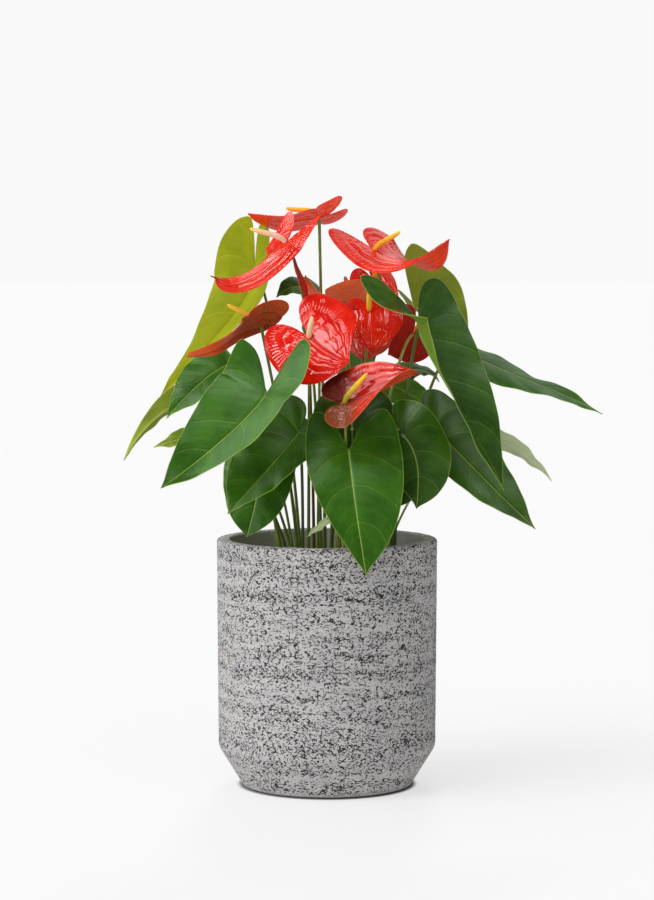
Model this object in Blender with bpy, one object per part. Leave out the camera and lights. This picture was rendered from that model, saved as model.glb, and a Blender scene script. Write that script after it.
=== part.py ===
"""Potted anthurium: a cement planter, its potting mix, heart-shaped leaves and red blooms on stalks.

The model stands on z = 0 with the planter's axis on +Z and is seen from -Y. Each leaf is one body with
its stalk. Each bloom is three bodies: the waxy spathe, the spadix on it and the stalk under it.
"""

import math
from dataclasses import dataclass

import bmesh
import bpy
import numpy as np
from mathutils import Vector
from mathutils.bvhtree import BVHTree

MM = 0.001
GAP = 0.0003

RIM_RADIUS = 0.1205
SHOULDER_RADIUS = 0.1190
BASE_RADIUS = 0.0925
PLANTER_HEIGHT = 0.270
CONE_HEIGHT = 0.043
WALL = 0.0155
FLOOR = 0.020
EDGE_ROUND = 0.004
SHOULDER_INSET = 0.0035
SHOULDER_BELOW = 0.008
SHOULDER_ABOVE = 0.004
FLOOR_TAPER = 0.030
RIM_FLAT = 0.7
RIM_INNER_EASE = 0.25
RIM_INNER_DROP = 0.8
PLANTER_SIDES = 48

SOIL_TOP = 0.225
SOIL_UNEVEN = 0.0022
SOIL_RINGS = 4
SOIL_SIDES = 32
SOIL_RIPPLES = ((95, 80), (190, 160))
SOIL_FINE_SHARE = 0.6
HOLE_DEPTH = 0.022

BLADE_THICKNESS = 0.0009
LEAF_RAYS = 10
LEAF_STEPS = 3
SPATHE_RAYS = 9
SPATHE_STEPS = 3
SPINE_SAMPLES = 61
MARGIN_SAMPLES = 40
MARGIN_START = 14
LEAST_BEND = 0.01
STALK_SIDES = 6
STALK_SPANS = 7
STALK_RADIUS = 0.0016
STALK_LEAN = 0.2
STALK_RISE = 0.45
SQUARE_END = 0.003
PROBE = 0.005
PROBE_SHARES = (0.25, 0.5, 0.75, 1)
PROBE_TURNS = 16
SPADIX_SIDES = 7
SPADIX_RADII = (0.0024, 0.0029, 0.0030, 0.0029, 0.0026, 0.0020, 0.0005)
SPADIX_UPRIGHT = 0.25
SPADIX_BOW = 0.6
SHARP_EDGE = 35

DARK_GREEN = (0.030, 0.085, 0.022)
MID_GREEN = (0.055, 0.150, 0.035)
LIME = (0.300, 0.360, 0.040)
OLIVE = (0.150, 0.190, 0.035)
PALE_GREEN = (0.330, 0.450, 0.190)
STALK_GREEN = (0.150, 0.260, 0.060)
RED = (0.600, 0.030, 0.018)
CORAL = (0.650, 0.080, 0.045)
RUST = (0.250, 0.040, 0.020)
YELLOW = (0.850, 0.520, 0.080)
CREAM = (0.850, 0.620, 0.350)
BRIGHT_GREEN = (0.110, 0.300, 0.040)
CEMENT = (0.420, 0.410, 0.400)
SOIL = (0.035, 0.024, 0.017)
LEAF_ROUGHNESS = 0.42
SPATHE_ROUGHNESS = 0.18
SPADIX_ROUGHNESS = 0.50
STALK_ROUGHNESS = 0.40
BUD_ROUGHNESS = 0.30
CEMENT_ROUGHNESS = 0.85
SOIL_ROUGHNESS = 0.95


@dataclass(frozen=True)
class Blade:
    """One leaf blade or spathe, with its stalk; lengths are in millimetres and angles in degrees.

    The midrib runs from the joint through the four points of `spine`. `face` is the way the upper
    side looks at the joint. A pair holds one value for each half of the blade: first the half on
    the left of someone who looks at the upper side with the tip down, then the other.
    """

    name: str
    spine: tuple
    face: tuple
    half: tuple
    lobe: tuple
    root: tuple
    knee: tuple
    colour: tuple = MID_GREEN
    fold: tuple = (10, 10)
    tip_fold: tuple = None
    lobe_fold: tuple = None
    curl: tuple = (-20, -20)
    lift: tuple = (10, 10)
    twist: float = 0
    apex: tuple = None
    full: tuple = (0.5, 0.5)
    wave: tuple = (0, 3, 0)
    spadix: tuple = None
    spadix_length: float = 0
    spadix_colour: tuple = YELLOW


LEAVES = (
    Blade("leaf_front", ((23, -88, 371), (28, -114, 329), (34, -130, 287), (41, -138, 243)), (0.05, -1, 0.3),
          half=(46, 56), lobe=(47, 47), root=(26, -80), knee=(24, -78, 341), fold=(8, 10), curl=(-12, -20),
          lift=(15, 10), apex=(0.68, 0.72), wave=(1.5, 3, 0.1), full=(0.2, 1.0)),
    Blade("leaf_left_large", ((-64, -108, 432), (-92, -114, 400), (-135, -126, 363), (-172, -156, 337)),
          (-0.11, -1.07, 0.8), half=(57, 39), lobe=(44, 71), root=(-46, -2), knee=(-112, 0, 530),
          fold=(2, 38), tip_fold=(0, 22), lobe_fold=(5, 13), curl=(-6, -5), lift=(41, 23), twist=-19,
          apex=(0.84, 0.35), wave=(2, 3, 0.3), full=(0.28, 0.2)),
    Blade("leaf_left_inner", ((-30, -54, 388), (-53, -74, 361), (-77, -90, 335), (-105, -102, 305)),
          (-0.3, -1, 0.5), half=(54, 36), lobe=(38, 8), root=(-26, -38), knee=(-26, -44, 363), fold=(5, 30),
          curl=(-10, -20), full=(0.9, 1.1), colour=DARK_GREEN),
    Blade("leaf_left_low", ((-68, -28, 381), (-70, -42, 347), (-77, -50, 311), (-86, -56, 275)),
          (-0.2, -1, 0.3), half=(44, 38), lobe=(12, 12), root=(-34, -28), knee=(-59, -20, 367), fold=(5, 10),
          curl=(-15, -20), full=(1.5, 1.5)),
    Blade("leaf_right_low", ((82, -60, 385), (94, -70, 363), (97, -76, 337), (95, -78, 308)),
          (-0.1, -1, 0.4), half=(38, 40), lobe=(30, 36), root=(66, -38), knee=(82, -50, 350), fold=(-5, 5),
          wave=(4, 3, 0.1), full=(0.5, 1.2), colour=DARK_GREEN),
    Blade("leaf_right_wide", ((118, -30, 389), (154, -40, 352), (189, -46, 317), (224, -50, 284)),
          (0.3, -1, 0.8), half=(34, 46), lobe=(30, 42), root=(54, -16), knee=(100, -22, 378),
          full=(0.6, 0.5)),
    Blade("leaf_right_long", ((98, -58, 498), (117, -68, 458), (151, -78, 399), (188, -80, 328)),
          (0.25, -1, 0.35), half=(54, 54), lobe=(71, 52), root=(72, -8), knee=(89, -24, 467), fold=(94, 0),
          curl=(-22, -6), lift=(5, 5), tip_fold=(50, 0), lobe_fold=(12, 0), apex=(0.87, 0.57),
          full=(0.3, 0.5), colour=DARK_GREEN),
    Blade("leaf_right_olive", ((96, 98, 524), (117, 104, 504), (138, 108, 485), (158, 110, 465)),
          (0.05, 1, 0.2), half=(56, 44), lobe=(52, 20), root=(46, 26), knee=(107, 64, 508), fold=(0, 80),
          curl=(-10, -10), lift=(5, 5), apex=(0.8, 0.5), full=(0.4, 0.4), colour=OLIVE),
    Blade("leaf_right_far", ((139, 64, 479), (192, 66, 452), (250, 68, 428), (307, 70, 401)),
          (0.1, -0.36, 1), half=(40, 35), lobe=(34, 26), root=(62, 22), knee=(125, 58, 466), fold=(5, 5),
          wave=(2.5, 2.5, 0.2), colour=DARK_GREEN),
    Blade("leaf_right_pale", ((154, 18, 395), (185, 13, 379), (216, 6, 360), (245, 0, 332)),
          (0.2, 0.6, 1), half=(24, 24), lobe=(22, 22), root=(58, -4), knee=(137, 20, 384),
          colour=PALE_GREEN),
    Blade("leaf_left_mid", ((-105, -22, 460), (-125, -33, 449), (-147, -43, 430), (-172, -50, 403)),
          (-0.3, -1, 0.6), half=(32, 34), lobe=(8, 8), root=(-50, 14), knee=(-93, 8, 446), fold=(10, 30)),
    Blade("leaf_left_twisted", ((-124, 12, 434), (-154, 6, 421), (-188, -2, 399), (-221, -8, 354)),
          (-0.2, 0.9, 0.4), half=(20, 26), lobe=(18, 22), root=(-34, 24), knee=(-112, 18, 422),
          fold=(60, 0), full=(-0.6, -0.6), twist=60, colour=OLIVE),
    Blade("leaf_left_small", ((-114, 0, 388), (-138, -10, 384), (-162, -20, 378), (-187, -28, 371)),
          (-0.2, -0.8, 0.9), half=(20, 20), lobe=(14, 14), root=(-38, 2), knee=(-99, 4, 380),
          colour=OLIVE),
    Blade("leaf_inner_back", ((79, 78, 443), (94, 84, 450), (111, 88, 448), (126, 90, 436)),
          (0.0, -0.25, 1), half=(24, 24), lobe=(20, 20), root=(24, 58), knee=(66, 72, 426)),
    Blade("leaf_inner_bright", ((73, 22, 434), (89, 20, 426), (106, 16, 415), (123, 12, 400)),
          (0.1, -0.7, 1), half=(26, 26), lobe=(16, 16), root=(46, 4), knee=(69, 22, 415),
          colour=BRIGHT_GREEN),
    Blade("leaf_inner_dark", ((94, 6, 365), (90, 2, 344), (84, -2, 322), (74, -6, 302)),
          (0, -1, 0.3), half=(30, 30), lobe=(20, 20), root=(64, 8), knee=(91, 8, 346), colour=DARK_GREEN),
    Blade("leaf_inner_middle", ((27, -28, 391), (27, -40, 362), (25, -48, 330), (20, -54, 299)),
          (0, -1, 0.2), half=(44, 50), lobe=(42, 46), root=(8, -18), knee=(25, -20, 365), fold=(5, 5),
          curl=(-15, -15), lift=(5, 5), apex=(0.62, 0.5), colour=DARK_GREEN),
    Blade("leaf_inner_top", ((-10, 62, 532), (-25, 56, 542), (-41, 50, 541), (-56, 44, 531)),
          (0.2, -0.4, 1), half=(26, 26), lobe=(20, 20), root=(-10, 46), knee=(-6, 64, 517),
          colour=DARK_GREEN),
    Blade("leaf_lime", ((-80, 72, 563), (-96, 64, 521), (-136, 52, 473), (-187, 42, 416)),
          (-0.25, -1, 0.3), half=(50, 54), lobe=(58, 50), root=(-28, 22), knee=(-66, 80, 543), fold=(0, 60),
          curl=(-20, -10), lift=(5, 5), apex=(0.15, 0.46), full=(-0.7, 0.5), colour=LIME),
    Blade("leaf_back_left", ((-54, 68, 384), (-62, 98, 358), (-68, 122, 320), (-70, 138, 274)),
          (-0.2, 1, 0.5), half=(38, 46), lobe=(26, 28), root=(-30, 36), knee=(-48, 54, 368), fold=(8, 8),
          wave=(1.5, 3, 0.4)),
    Blade("leaf_back_middle", ((17, 92, 498), (20, 124, 482), (26, 152, 456), (32, 172, 416)),
          (0.1, 1, 0.8), half=(46, 46), lobe=(34, 34), root=(4, 56), knee=(17, 70, 478), fold=(8, 8)),
    Blade("leaf_back_right", ((54, 94, 396), (60, 122, 370), (66, 144, 332), (70, 158, 286)),
          (0.2, 1, 0.5), half=(46, 44), lobe=(24, 24), root=(42, 46), knee=(50, 76, 378), fold=(8, 8),
          wave=(1.5, 3, 0.7)),
    Blade("sheath_strap", ((13, -74, 303), (3, -74, 297), (-9, -74, 288), (-22, -74, 278)),
          (-0.2, -1, 0.8), half=(5, 5), lobe=(4, 4), root=(18, -72), knee=(16, -73, 293), fold=(5, 5),
          curl=(0, 0), lift=(0, 0), full=(1.2, 1.2), colour=PALE_GREEN),
)

BLOOMS = (
    Blade("bloom_centre", ((-19, -72, 491), (-5, -80, 479), (9, -86, 470), (24, -90, 463)),
          (-0.25, -1, 0.75), half=(50, 58), lobe=(36, 38), root=(-20, -16), knee=(-19, -18, 462),
          fold=(0, 0), full=(0.9, 0.5), colour=RED, spadix=(4, -12, 26), spadix_length=24,
          spadix_colour=CREAM),
    Blade("bloom_inner", ((45, -22, 519), (46, -30, 502), (47, -35, 486), (48, -38, 473)),
          (0.12, -1, 0.6), half=(28, 38), lobe=(12, 20), root=(24, 6), knee=(47, -8, 490),
          fold=(0, 0), lobe_fold=(20, 0), colour=RED, spadix=(0, -14, 30), spadix_length=22),
    Blade("bloom_right_top", ((51, -10, 583), (78, -19, 572), (105, -30, 577), (131, -40, 595)),
          (-0.06, -0.21, 1.22), half=(46, 52), lobe=(48, 26), root=(12, 26), knee=(80, 42, 520),
          fold=(-2, 16), tip_fold=(9, -54), lift=(4, 12), apex=(0.57, 0.36), full=(1.14, 0.46),
          colour=CORAL, spadix=(26, -4, 18), spadix_length=34),
    Blade("bloom_left_top", ((-45, -40, 591), (-68, -49, 570), (-95, -44, 555), (-124, -52, 556)),
          (-0.39, -0.49, 1.17), half=(33, 21), lobe=(42, 47), root=(-6, 14), knee=(-18, 0, 560),
          fold=(-7, -16), lift=(43, 2), lobe_fold=(1, 19), tip_fold=(-55, -50), apex=(0.42, 0.89),
          full=(0.4, 2.06), colour=CORAL, spadix=(-36, -4, 14), spadix_length=40, spadix_colour=CREAM),
    Blade("bloom_top", ((-9, 34, 619), (-35, 31, 615), (-63, 23, 615), (-86, 14, 623)),
          (-0.05, 0.22, 1.06), half=(35, 32), lobe=(31, 35), root=(-2, 30), knee=(-8, 36, 588),
          fold=(3, 7), lobe_fold=(-14, 29), tip_fold=(-5, 8), curl=(-8, -11), lift=(40, 44), twist=-2,
          apex=(0.55, 0.26), wave=(2, 2, 0.3), colour=CORAL, spadix=(-34, 6, 9), spadix_length=38),
    Blade("bloom_left_brown", ((-70, -36, 501), (-102, -40, 488), (-117, -58, 478), (-151, -46, 469)),
          (-0.24, 0.65, 0.64), half=(10, 35), lobe=(25, 38), root=(-30, 4), knee=(-67, -28, 477),
          fold=(15, -4), lobe_fold=(22, 31), tip_fold=(-19, -25), lift=(33, 0), apex=(0.29, 0.45),
          full=(0.58, 1.46), colour=RUST, spadix=(-38, 4, 24), spadix_length=44),
    Blade("bloom_orange_back", ((27, 19, 528), (15, 13, 529), (-5, 16, 528), (-23, 5, 556)),
          (-0.13, 1.14, 0.58), half=(20, 32), lobe=(14, 27), root=(4, 34), knee=(30, 22, 504),
          fold=(0, 8), lobe_fold=(0, 13), tip_fold=(10, -7), curl=(-10, -7), lift=(0, 33), twist=-18,
          full=(0.6, 0.67), colour=CORAL, spadix=(-8, 14, 28), spadix_length=30),
    Blade("bloom_back", ((50, 62, 552), (59, 64, 541), (70, 64, 532), (81, 62, 528)),
          (0, -0.8, 1), half=(34, 34), lobe=(22, 22), root=(16, 42), knee=(52, 64, 528),
          fold=(0, 0), colour=RED, spadix=(10, -10, 26), spadix_length=28),
    Blade("bloom_dark_back", ((94, 31, 491), (87, 41, 480), (78, 48, 473), (67, 53, 468)),
          (0.3, 0.9, 0.5), half=(28, 34), lobe=(34, 34), root=(36, -14), knee=(81, -2, 490),
          fold=(0, 0), colour=RUST, spadix=(14, 24, 18), spadix_length=28),
    Blade("bloom_pink", ((45, 12, 496), (44, 7, 483), (42, 2, 472), (42, -2, 462)),
          (0, -1, 0.5), half=(28, 26), lobe=(14, 14), root=(32, 16), knee=(45, 20, 472),
          fold=(0, 0), colour=CORAL, spadix=(-4, -10, 22), spadix_length=20),
    Blade("bloom_front_low", ((19, -104, 423), (44, -110, 431), (74, -119, 445), (96, -112, 455)),
          (-0.12, -0.76, 0.69), half=(33, 38), lobe=(22, 23), root=(22, -56), knee=(19, -74, 424),
          fold=(21, 9), lobe_fold=(-9, -1), tip_fold=(103, 27), curl=(-37, 0), lift=(24, 0), twist=7,
          full=(1.06, 0.62), colour=RED, spadix=(24, -10, 32), spadix_length=40),
)

BUD_AXIS = ((-23, 2, 522), (-26, 4, 542), (-31, 6, 558), (-37, 8, 574))
BUD_ROOT = (-14, 24)
BUD_KNEE = (-20, 6, 502)
BUD_RADII = (0.0019, 0.0036, 0.0041, 0.0037, 0.0029, 0.0019, 0.0005)
BUD_SIDES = 10


def clear_scene():
    """Empties the scene."""
    for item in list(bpy.data.objects):
        bpy.data.objects.remove(item)


def unit(vector):
    """The vector at length one."""
    vector = np.asarray(vector, float)
    return vector / np.linalg.norm(vector)


def bezier(points, shares):
    """Points on a cubic Bezier curve at these shares of its run."""
    t = np.asarray(shares, float)[:, None]
    a, b, c, d = (np.asarray(point, float) for point in points)
    return (1 - t) ** 3 * a + 3 * (1 - t) ** 2 * t * b + 3 * (1 - t) * t * t * c + t**3 * d


def cubic_through(points, shares):
    """Points on the cubic that passes the four points at shares 0, 1/3, 2/3 and 1."""
    t = np.asarray(shares, float)[:, None]
    a, b, c, d = (np.asarray(point, float) for point in points)
    near_start = (1 - 3 * t) * (2 - 3 * t) * (1 - t) / 2
    first_third = 9 * t * (2 - 3 * t) * (1 - t) / 2
    second_third = 9 * t * (3 * t - 1) * (1 - t) / 2
    near_end = t * (3 * t - 1) * (3 * t - 2) / 2
    return near_start * a + first_third * b + second_third * c + near_end * d


def margin_runs(blade, k):
    """The outline of one half in four Bezier runs, from the joint round the lobe to the tip.

    Each point is (share of the half width, share of the length, share of the lobe), so that one form
    serves every size. A leaf is widest below the joint, a spathe lower down, and `full` fills out
    the stretch towards the tip.
    """
    spathe = blade.spadix is not None
    full = blade.full[k]
    shoulder = blade.apex[k] if blade.apex else (0.50 if spathe else 0.46)
    spread = min(max((shoulder - 0.46) / 0.5, 0), 1)
    sinus = (
        (0, 0, 0),
        (shoulder * (0.065 + 0.30 * spread), 0, -0.30),
        (shoulder * (0.22 + 0.40 * spread), 0, -1),
        (shoulder, 0, -1),
    )
    over = shoulder + 0.62 * (1 - shoulder)
    if spathe:
        lobe = (sinus[3], (over, 0, -1), (1.02, 0, -0.30), (1, 0.16, 0))
        side = (
            lobe[3],
            (0.97, 0.50 + 0.12 * full, 0),
            (0.36 + 0.20 * full, 0.74 + 0.08 * full, 0),
            (0.12, 0.93, 0),
        )
        tip = (side[3], (0.06, 0.96, 0), (0.03, 0.98, 0), (0, 1, 0))
    else:
        lobe = (sinus[3], (over, 0, -1), (1, 0, -0.45), (1, 0.06, 0))
        x = 0.15 - 0.02 * full
        y = 0.88 + 0.05 * full
        side = (
            lobe[3],
            (1, 0.33 + 0.16 * full, 0),
            (0.42 + 0.26 * full, 0.66 + 0.09 * full, 0),
            (x, y, 0),
        )
        tip = (side[3], (0.55 * x, y + 0.35 * (1 - y), 0), (0.02, 0.97, 0), (0, 1, 0))
    return sinus, lobe, side, tip


class Sheet:
    """The bent surface of a blade: a midrib in space and two halves that fold, curl and lift."""

    def __init__(self, blade):
        self.blade = blade
        shares = np.linspace(0, 1, SPINE_SAMPLES)
        path = cubic_through(blade.spine, shares)
        run = np.r_[0, np.cumsum(np.linalg.norm(np.diff(path, axis=0), axis=1))]
        self.length = run[-1]
        self.along = np.linspace(0, self.length, SPINE_SAMPLES)
        self.centre = np.stack([np.interp(self.along, run, path[:, i]) for i in range(3)], axis=1)
        self.tangent = np.gradient(self.centre, axis=0)
        self.tangent /= np.linalg.norm(self.tangent, axis=1)[:, None]
        up = np.zeros_like(self.tangent)
        carried = np.asarray(blade.face, float)
        for i, tangent in enumerate(self.tangent):
            carried = unit(carried - tangent * (carried @ tangent))
            up[i] = carried
        across = np.cross(self.tangent, up)
        turn = np.radians(blade.twist) * (self.along / self.length) ** 1.3
        self.up = up * np.cos(turn)[:, None] + across * np.sin(turn)[:, None]
        self.across = np.cross(self.tangent, self.up)

    def margin(self, rays, k):
        """Where each side vein ends on the flat margin, and where it leaves the midrib."""
        blade = self.blade
        scale = np.array([[blade.half[k], 0], [0, self.length], [0, blade.lobe[k]]])
        runs = [np.array(run, float) @ scale for run in margin_runs(blade, k)]
        shares = np.linspace(0, 1, MARGIN_SAMPLES)
        line = np.vstack([bezier(run, shares)[(i > 0):] for i, run in enumerate(runs)])
        run = np.r_[0, np.cumsum(np.hypot(*np.diff(line, axis=0).T))]
        start = run[MARGIN_START]
        stops = start + (run[-1] - start) * np.linspace(0, 1, rays)
        ends = np.stack([np.interp(stops, run, line[:, i]) for i in range(2)], axis=1)
        share = np.clip((ends[:, 1] / self.length - 0.02) / 0.98, 0, 1)
        feet = np.minimum(self.length * share**1.15, ends[:, 1].clip(0))
        ends[-1] = (0, self.length)
        feet[-1] = self.length
        return ends, feet

    def bend(self, x, y, ray, reach, k):
        """Points in space for flat points x from the midrib and y along it, in one half."""
        blade = self.blade
        side = 1 if k == 0 else -1
        lobe = blade.lobe[k]
        at = np.clip(y, 0, self.length)
        pick = [
            np.stack([np.interp(at, self.along, values[:, i]) for i in range(3)], axis=1)
            for values in (self.centre, self.tangent, self.across, self.up)
        ]
        centre, tangent, across, up = pick
        back = np.clip(-y, 0, None)
        bow = math.radians(max(blade.lift[k], LEAST_BEND)) / lobe
        centre = centre - self.tangent[0] * (np.sin(bow * back) / bow)[:, None]
        centre = centre + self.up[0] * ((1 - np.cos(bow * back)) / bow)[:, None]
        up = up * np.cos(bow * back)[:, None] + tangent * np.sin(bow * back)[:, None]
        fold = math.radians(blade.fold[k])
        tip_fold = math.radians((blade.tip_fold or blade.fold)[k])
        lobe_fold = math.radians((blade.lobe_fold or blade.fold)[k])
        angle = fold + (tip_fold - fold) * at / self.length
        angle = angle + (lobe_fold - fold) * np.clip(back / lobe, 0, 1) ** 0.6
        curl = math.radians(min(blade.curl[k], -LEAST_BEND)) / blade.half[k]
        out = (np.sin(angle + curl * x) - np.sin(angle)) / curl
        rise = (np.cos(angle) - np.cos(angle + curl * x)) / curl
        height, count, phase = blade.wave
        swing = np.sin(2 * math.pi * (count * ray + phase + 0.31 * (k == 0)))
        rise = rise + height * swing * reach**2 * np.sqrt(np.clip(np.sin(math.pi * ray), 0, 1))
        return centre + across * (side * out)[:, None] + up * rise[:, None]

    def joint(self):
        """The joint's place and the way its upper side looks, in metres."""
        return self.centre[0] * MM, self.up[0]


def sheet_mesh(name, sheet, rays, steps):
    """A flat-shaded triangle sheet with both halves, which share the midrib's points."""
    margins = [sheet.margin(rays, k) for k in (0, 1)]
    feet = (margins[0][1] + margins[1][1]) / 2
    shape = bmesh.new()
    spine = {}
    for foot in feet:
        key = round(float(foot), 3)
        if key not in spine:
            point = sheet.bend(np.zeros(1), np.array([foot]), np.zeros(1), np.zeros(1), 0)[0]
            spine[key] = shape.verts.new(point * MM)
    for k in (0, 1):
        ends = margins[k][0]
        rows = []
        for i in range(rays):
            reach = np.linspace(0, 1, steps + 1)[1:]
            x = ends[i, 0] * reach
            y = feet[i] + (ends[i, 1] - feet[i]) * reach
            points = sheet.bend(x, y, np.full(steps, i / (rays - 1)), reach, k) * MM
            start = spine[round(float(feet[i]), 3)]
            if i == rays - 1:
                rows.append([start] * (steps + 1))
            else:
                rows.append([start] + [shape.verts.new(point) for point in points])
        for first, second in zip(rows, rows[1:]):
            for j in range(steps):
                corners = (first[j], first[j + 1], second[j + 1], second[j])
                halves = ((corners[0], corners[1], corners[2]), (corners[0], corners[2], corners[3]))
                for three in halves:
                    if len(set(three)) == 3:
                        shape.faces.new(three if k == 0 else three[::-1])
    mesh = bpy.data.meshes.new(name)
    shape.to_mesh(mesh)
    shape.free()
    return mesh


def frame_along(path, start=None):
    """Two unit vectors square to the path at each point, carried along it without twist.

    The first pair is square to `start` where that is given.
    """
    tangents = np.gradient(path, axis=0)
    if start is not None:
        tangents[0] = start
    tangents /= np.linalg.norm(tangents, axis=1)[:, None]
    first = np.zeros_like(tangents)
    carried = np.array([1.0, 0.0, 0.0])
    for i, tangent in enumerate(tangents):
        carried = unit(carried - tangent * (carried @ tangent))
        first[i] = carried
    return first, np.cross(tangents, first)


def tube_mesh(name, path, radii, sides, start=None):
    """A closed tube with flat ends round the path, in metres; its first end is square to `start`."""
    first, second = frame_along(path, start)
    shape = bmesh.new()
    angles = np.arange(sides) * 2 * math.pi / sides
    rings = []
    for centre, radius, u, v in zip(path, radii, first, second):
        ring = [centre + radius * (u * math.cos(a) + v * math.sin(a)) for a in angles]
        rings.append([shape.verts.new(point) for point in ring])
    for low, high in zip(rings, rings[1:]):
        for i in range(sides):
            j = (i + 1) % sides
            shape.faces.new((low[i], low[j], high[j], high[i]))
    shape.faces.new(rings[0][::-1])
    shape.faces.new(rings[-1])
    bmesh.ops.triangulate(shape, faces=shape.faces)
    mesh = bpy.data.meshes.new(name)
    shape.to_mesh(mesh)
    shape.free()
    return mesh


def stalk_path(root, knee, joint, normal, stop):
    """A stalk's axis: upright in its hole, one smooth rise, then square to the blade it carries."""
    foot = np.array([root[0] * MM, root[1] * MM, SOIL_TOP - HOLE_DEPTH])
    neck = np.array([foot[0], foot[1], SOIL_TOP + 2 * SOIL_UNEVEN])
    knee = np.asarray(knee, float) * MM
    square = joint - normal * SQUARE_END
    lean = STALK_LEAN * (knee - neck)
    lean[2] = STALK_RISE * (joint[2] - neck[2])
    rise = bezier((neck, neck + lean, knee, square), np.linspace(0, 1, STALK_SPANS + 1))
    return np.vstack([foot, rise, joint + normal * stop])


def material(name, colour, roughness):
    """A plain surface of this colour and roughness."""
    found = bpy.data.materials.new(name)
    found.use_nodes = True
    surface = found.node_tree.nodes["Principled BSDF"]
    surface.inputs["Base Color"].default_value = (*colour, 1)
    surface.inputs["Roughness"].default_value = roughness
    surface.inputs["Metallic"].default_value = 0
    found.diffuse_color = (*colour, 1)
    return found


def add_object(name, mesh, colour, roughness):
    """Puts the mesh into the scene as a named piece with its own material."""
    piece = bpy.data.objects.new(name, mesh)
    bpy.context.collection.objects.link(piece)
    mesh.materials.clear()
    mesh.materials.append(material(name + "_surface", colour, roughness))
    return piece


def helper(name, mesh):
    """Puts the mesh into the scene as a helper that is no piece of the plant."""
    guide = bpy.data.objects.new(name, mesh)
    bpy.context.collection.objects.link(guide)
    guide.hide_render = True
    guide.display_type = "WIRE"
    return guide


def thicken(piece):
    """Gives a sheet its thickness, half on each side."""
    solid = piece.modifiers.new("Thickness", "SOLIDIFY")
    solid.thickness = BLADE_THICKNESS
    solid.offset = 0
    solid.use_even_offset = False
    solid.use_quality_normals = True


def combine(piece, other, operation, solver="EXACT"):
    """Adds a Boolean with the helper, applies all of the piece's modifiers and removes the helper."""
    boolean = piece.modifiers.new(operation.title(), "BOOLEAN")
    boolean.operation = operation
    boolean.solver = solver
    boolean.object = other
    graph = bpy.context.evaluated_depsgraph_get()
    mesh = bpy.data.meshes.new_from_object(piece.evaluated_get(graph))
    piece.modifiers.clear()
    piece.data = mesh
    bpy.data.objects.remove(other)


def finish_mesh(piece):
    """Shades the piece smooth but for its edges."""
    piece.data.shade_smooth()
    piece.data.set_sharp_from_angle(angle=math.radians(SHARP_EDGE))


def make_leaf(blade):
    """One leaf: a thin blade with its stalk, which ends as a small boss above the joint."""
    sheet = Sheet(blade)
    mesh = sheet_mesh(blade.name, sheet, LEAF_RAYS, LEAF_STEPS)
    piece = add_object(blade.name, mesh, blade.colour, LEAF_ROUGHNESS)
    thicken(piece)
    joint, normal = sheet.joint()
    path = stalk_path(blade.root, blade.knee, joint, normal, BLADE_THICKNESS)
    radii = np.full(len(path), STALK_RADIUS)
    tube = tube_mesh(blade.name + "_stalk", path, radii, STALK_SIDES)
    stalk = helper(blade.name + "_stalk", tube)
    combine(piece, stalk, "UNION", solver="MANIFOLD")
    finish_mesh(piece)
    return piece


def reach_of(mesh, joint, normal, radius):
    """How far the sheet stands out along `normal` within `radius` of the joint."""
    tree = BVHTree.FromPolygons([v.co for v in mesh.vertices], [p.vertices for p in mesh.polygons])
    normal = Vector(normal)
    first = normal.orthogonal().normalized()
    second = normal.cross(first)
    heights = [0.0]
    for share in PROBE_SHARES:
        for i in range(PROBE_TURNS):
            angle = 2 * math.pi * i / PROBE_TURNS
            aside = first * math.cos(angle) + second * math.sin(angle)
            start = Vector(joint) + normal * PROBE + aside * radius * share
            distance = tree.ray_cast(start, -normal, 2 * PROBE)[3]
            if distance is not None:
                heights.append(PROBE - distance)
    return max(heights)


def make_bloom(blade):
    """One bloom: the spathe, the spadix that stands on it and the stalk that carries it."""
    sheet = Sheet(blade)
    name = blade.name
    mesh = sheet_mesh(name, sheet, SPATHE_RAYS, SPATHE_STEPS)
    joint, normal = sheet.joint()
    clear = BLADE_THICKNESS / 2 + GAP
    below = clear + reach_of(mesh, joint, -normal, STALK_RADIUS)
    above = clear + reach_of(mesh, joint, normal, SPADIX_RADII[0])
    spathe = add_object(name + "_spathe", mesh, blade.colour, SPATHE_ROUGHNESS)
    thicken(spathe)
    finish_mesh(spathe)
    path = stalk_path(blade.root, blade.knee, joint, normal, -below)
    radii = np.full(len(path), STALK_RADIUS)
    tube = tube_mesh(name + "_stalk", path, radii, STALK_SIDES)
    stalk = add_object(name + "_stalk", tube, STALK_GREEN, STALK_ROUGHNESS)
    finish_mesh(stalk)
    start = joint + normal * above
    way = unit(blade.spadix)
    length = blade.spadix_length * MM
    upright = start + normal * SPADIX_UPRIGHT * length
    bowed = start + way * SPADIX_BOW * length
    axis = bezier((start, upright, bowed, start + way * length), np.linspace(0, 1, len(SPADIX_RADII)))
    tube = tube_mesh(name + "_spadix", axis, SPADIX_RADII, SPADIX_SIDES, normal)
    spadix = add_object(name + "_spadix", tube, blade.spadix_colour, SPADIX_ROUGHNESS)
    finish_mesh(spadix)
    return spathe, spadix, stalk


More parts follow.
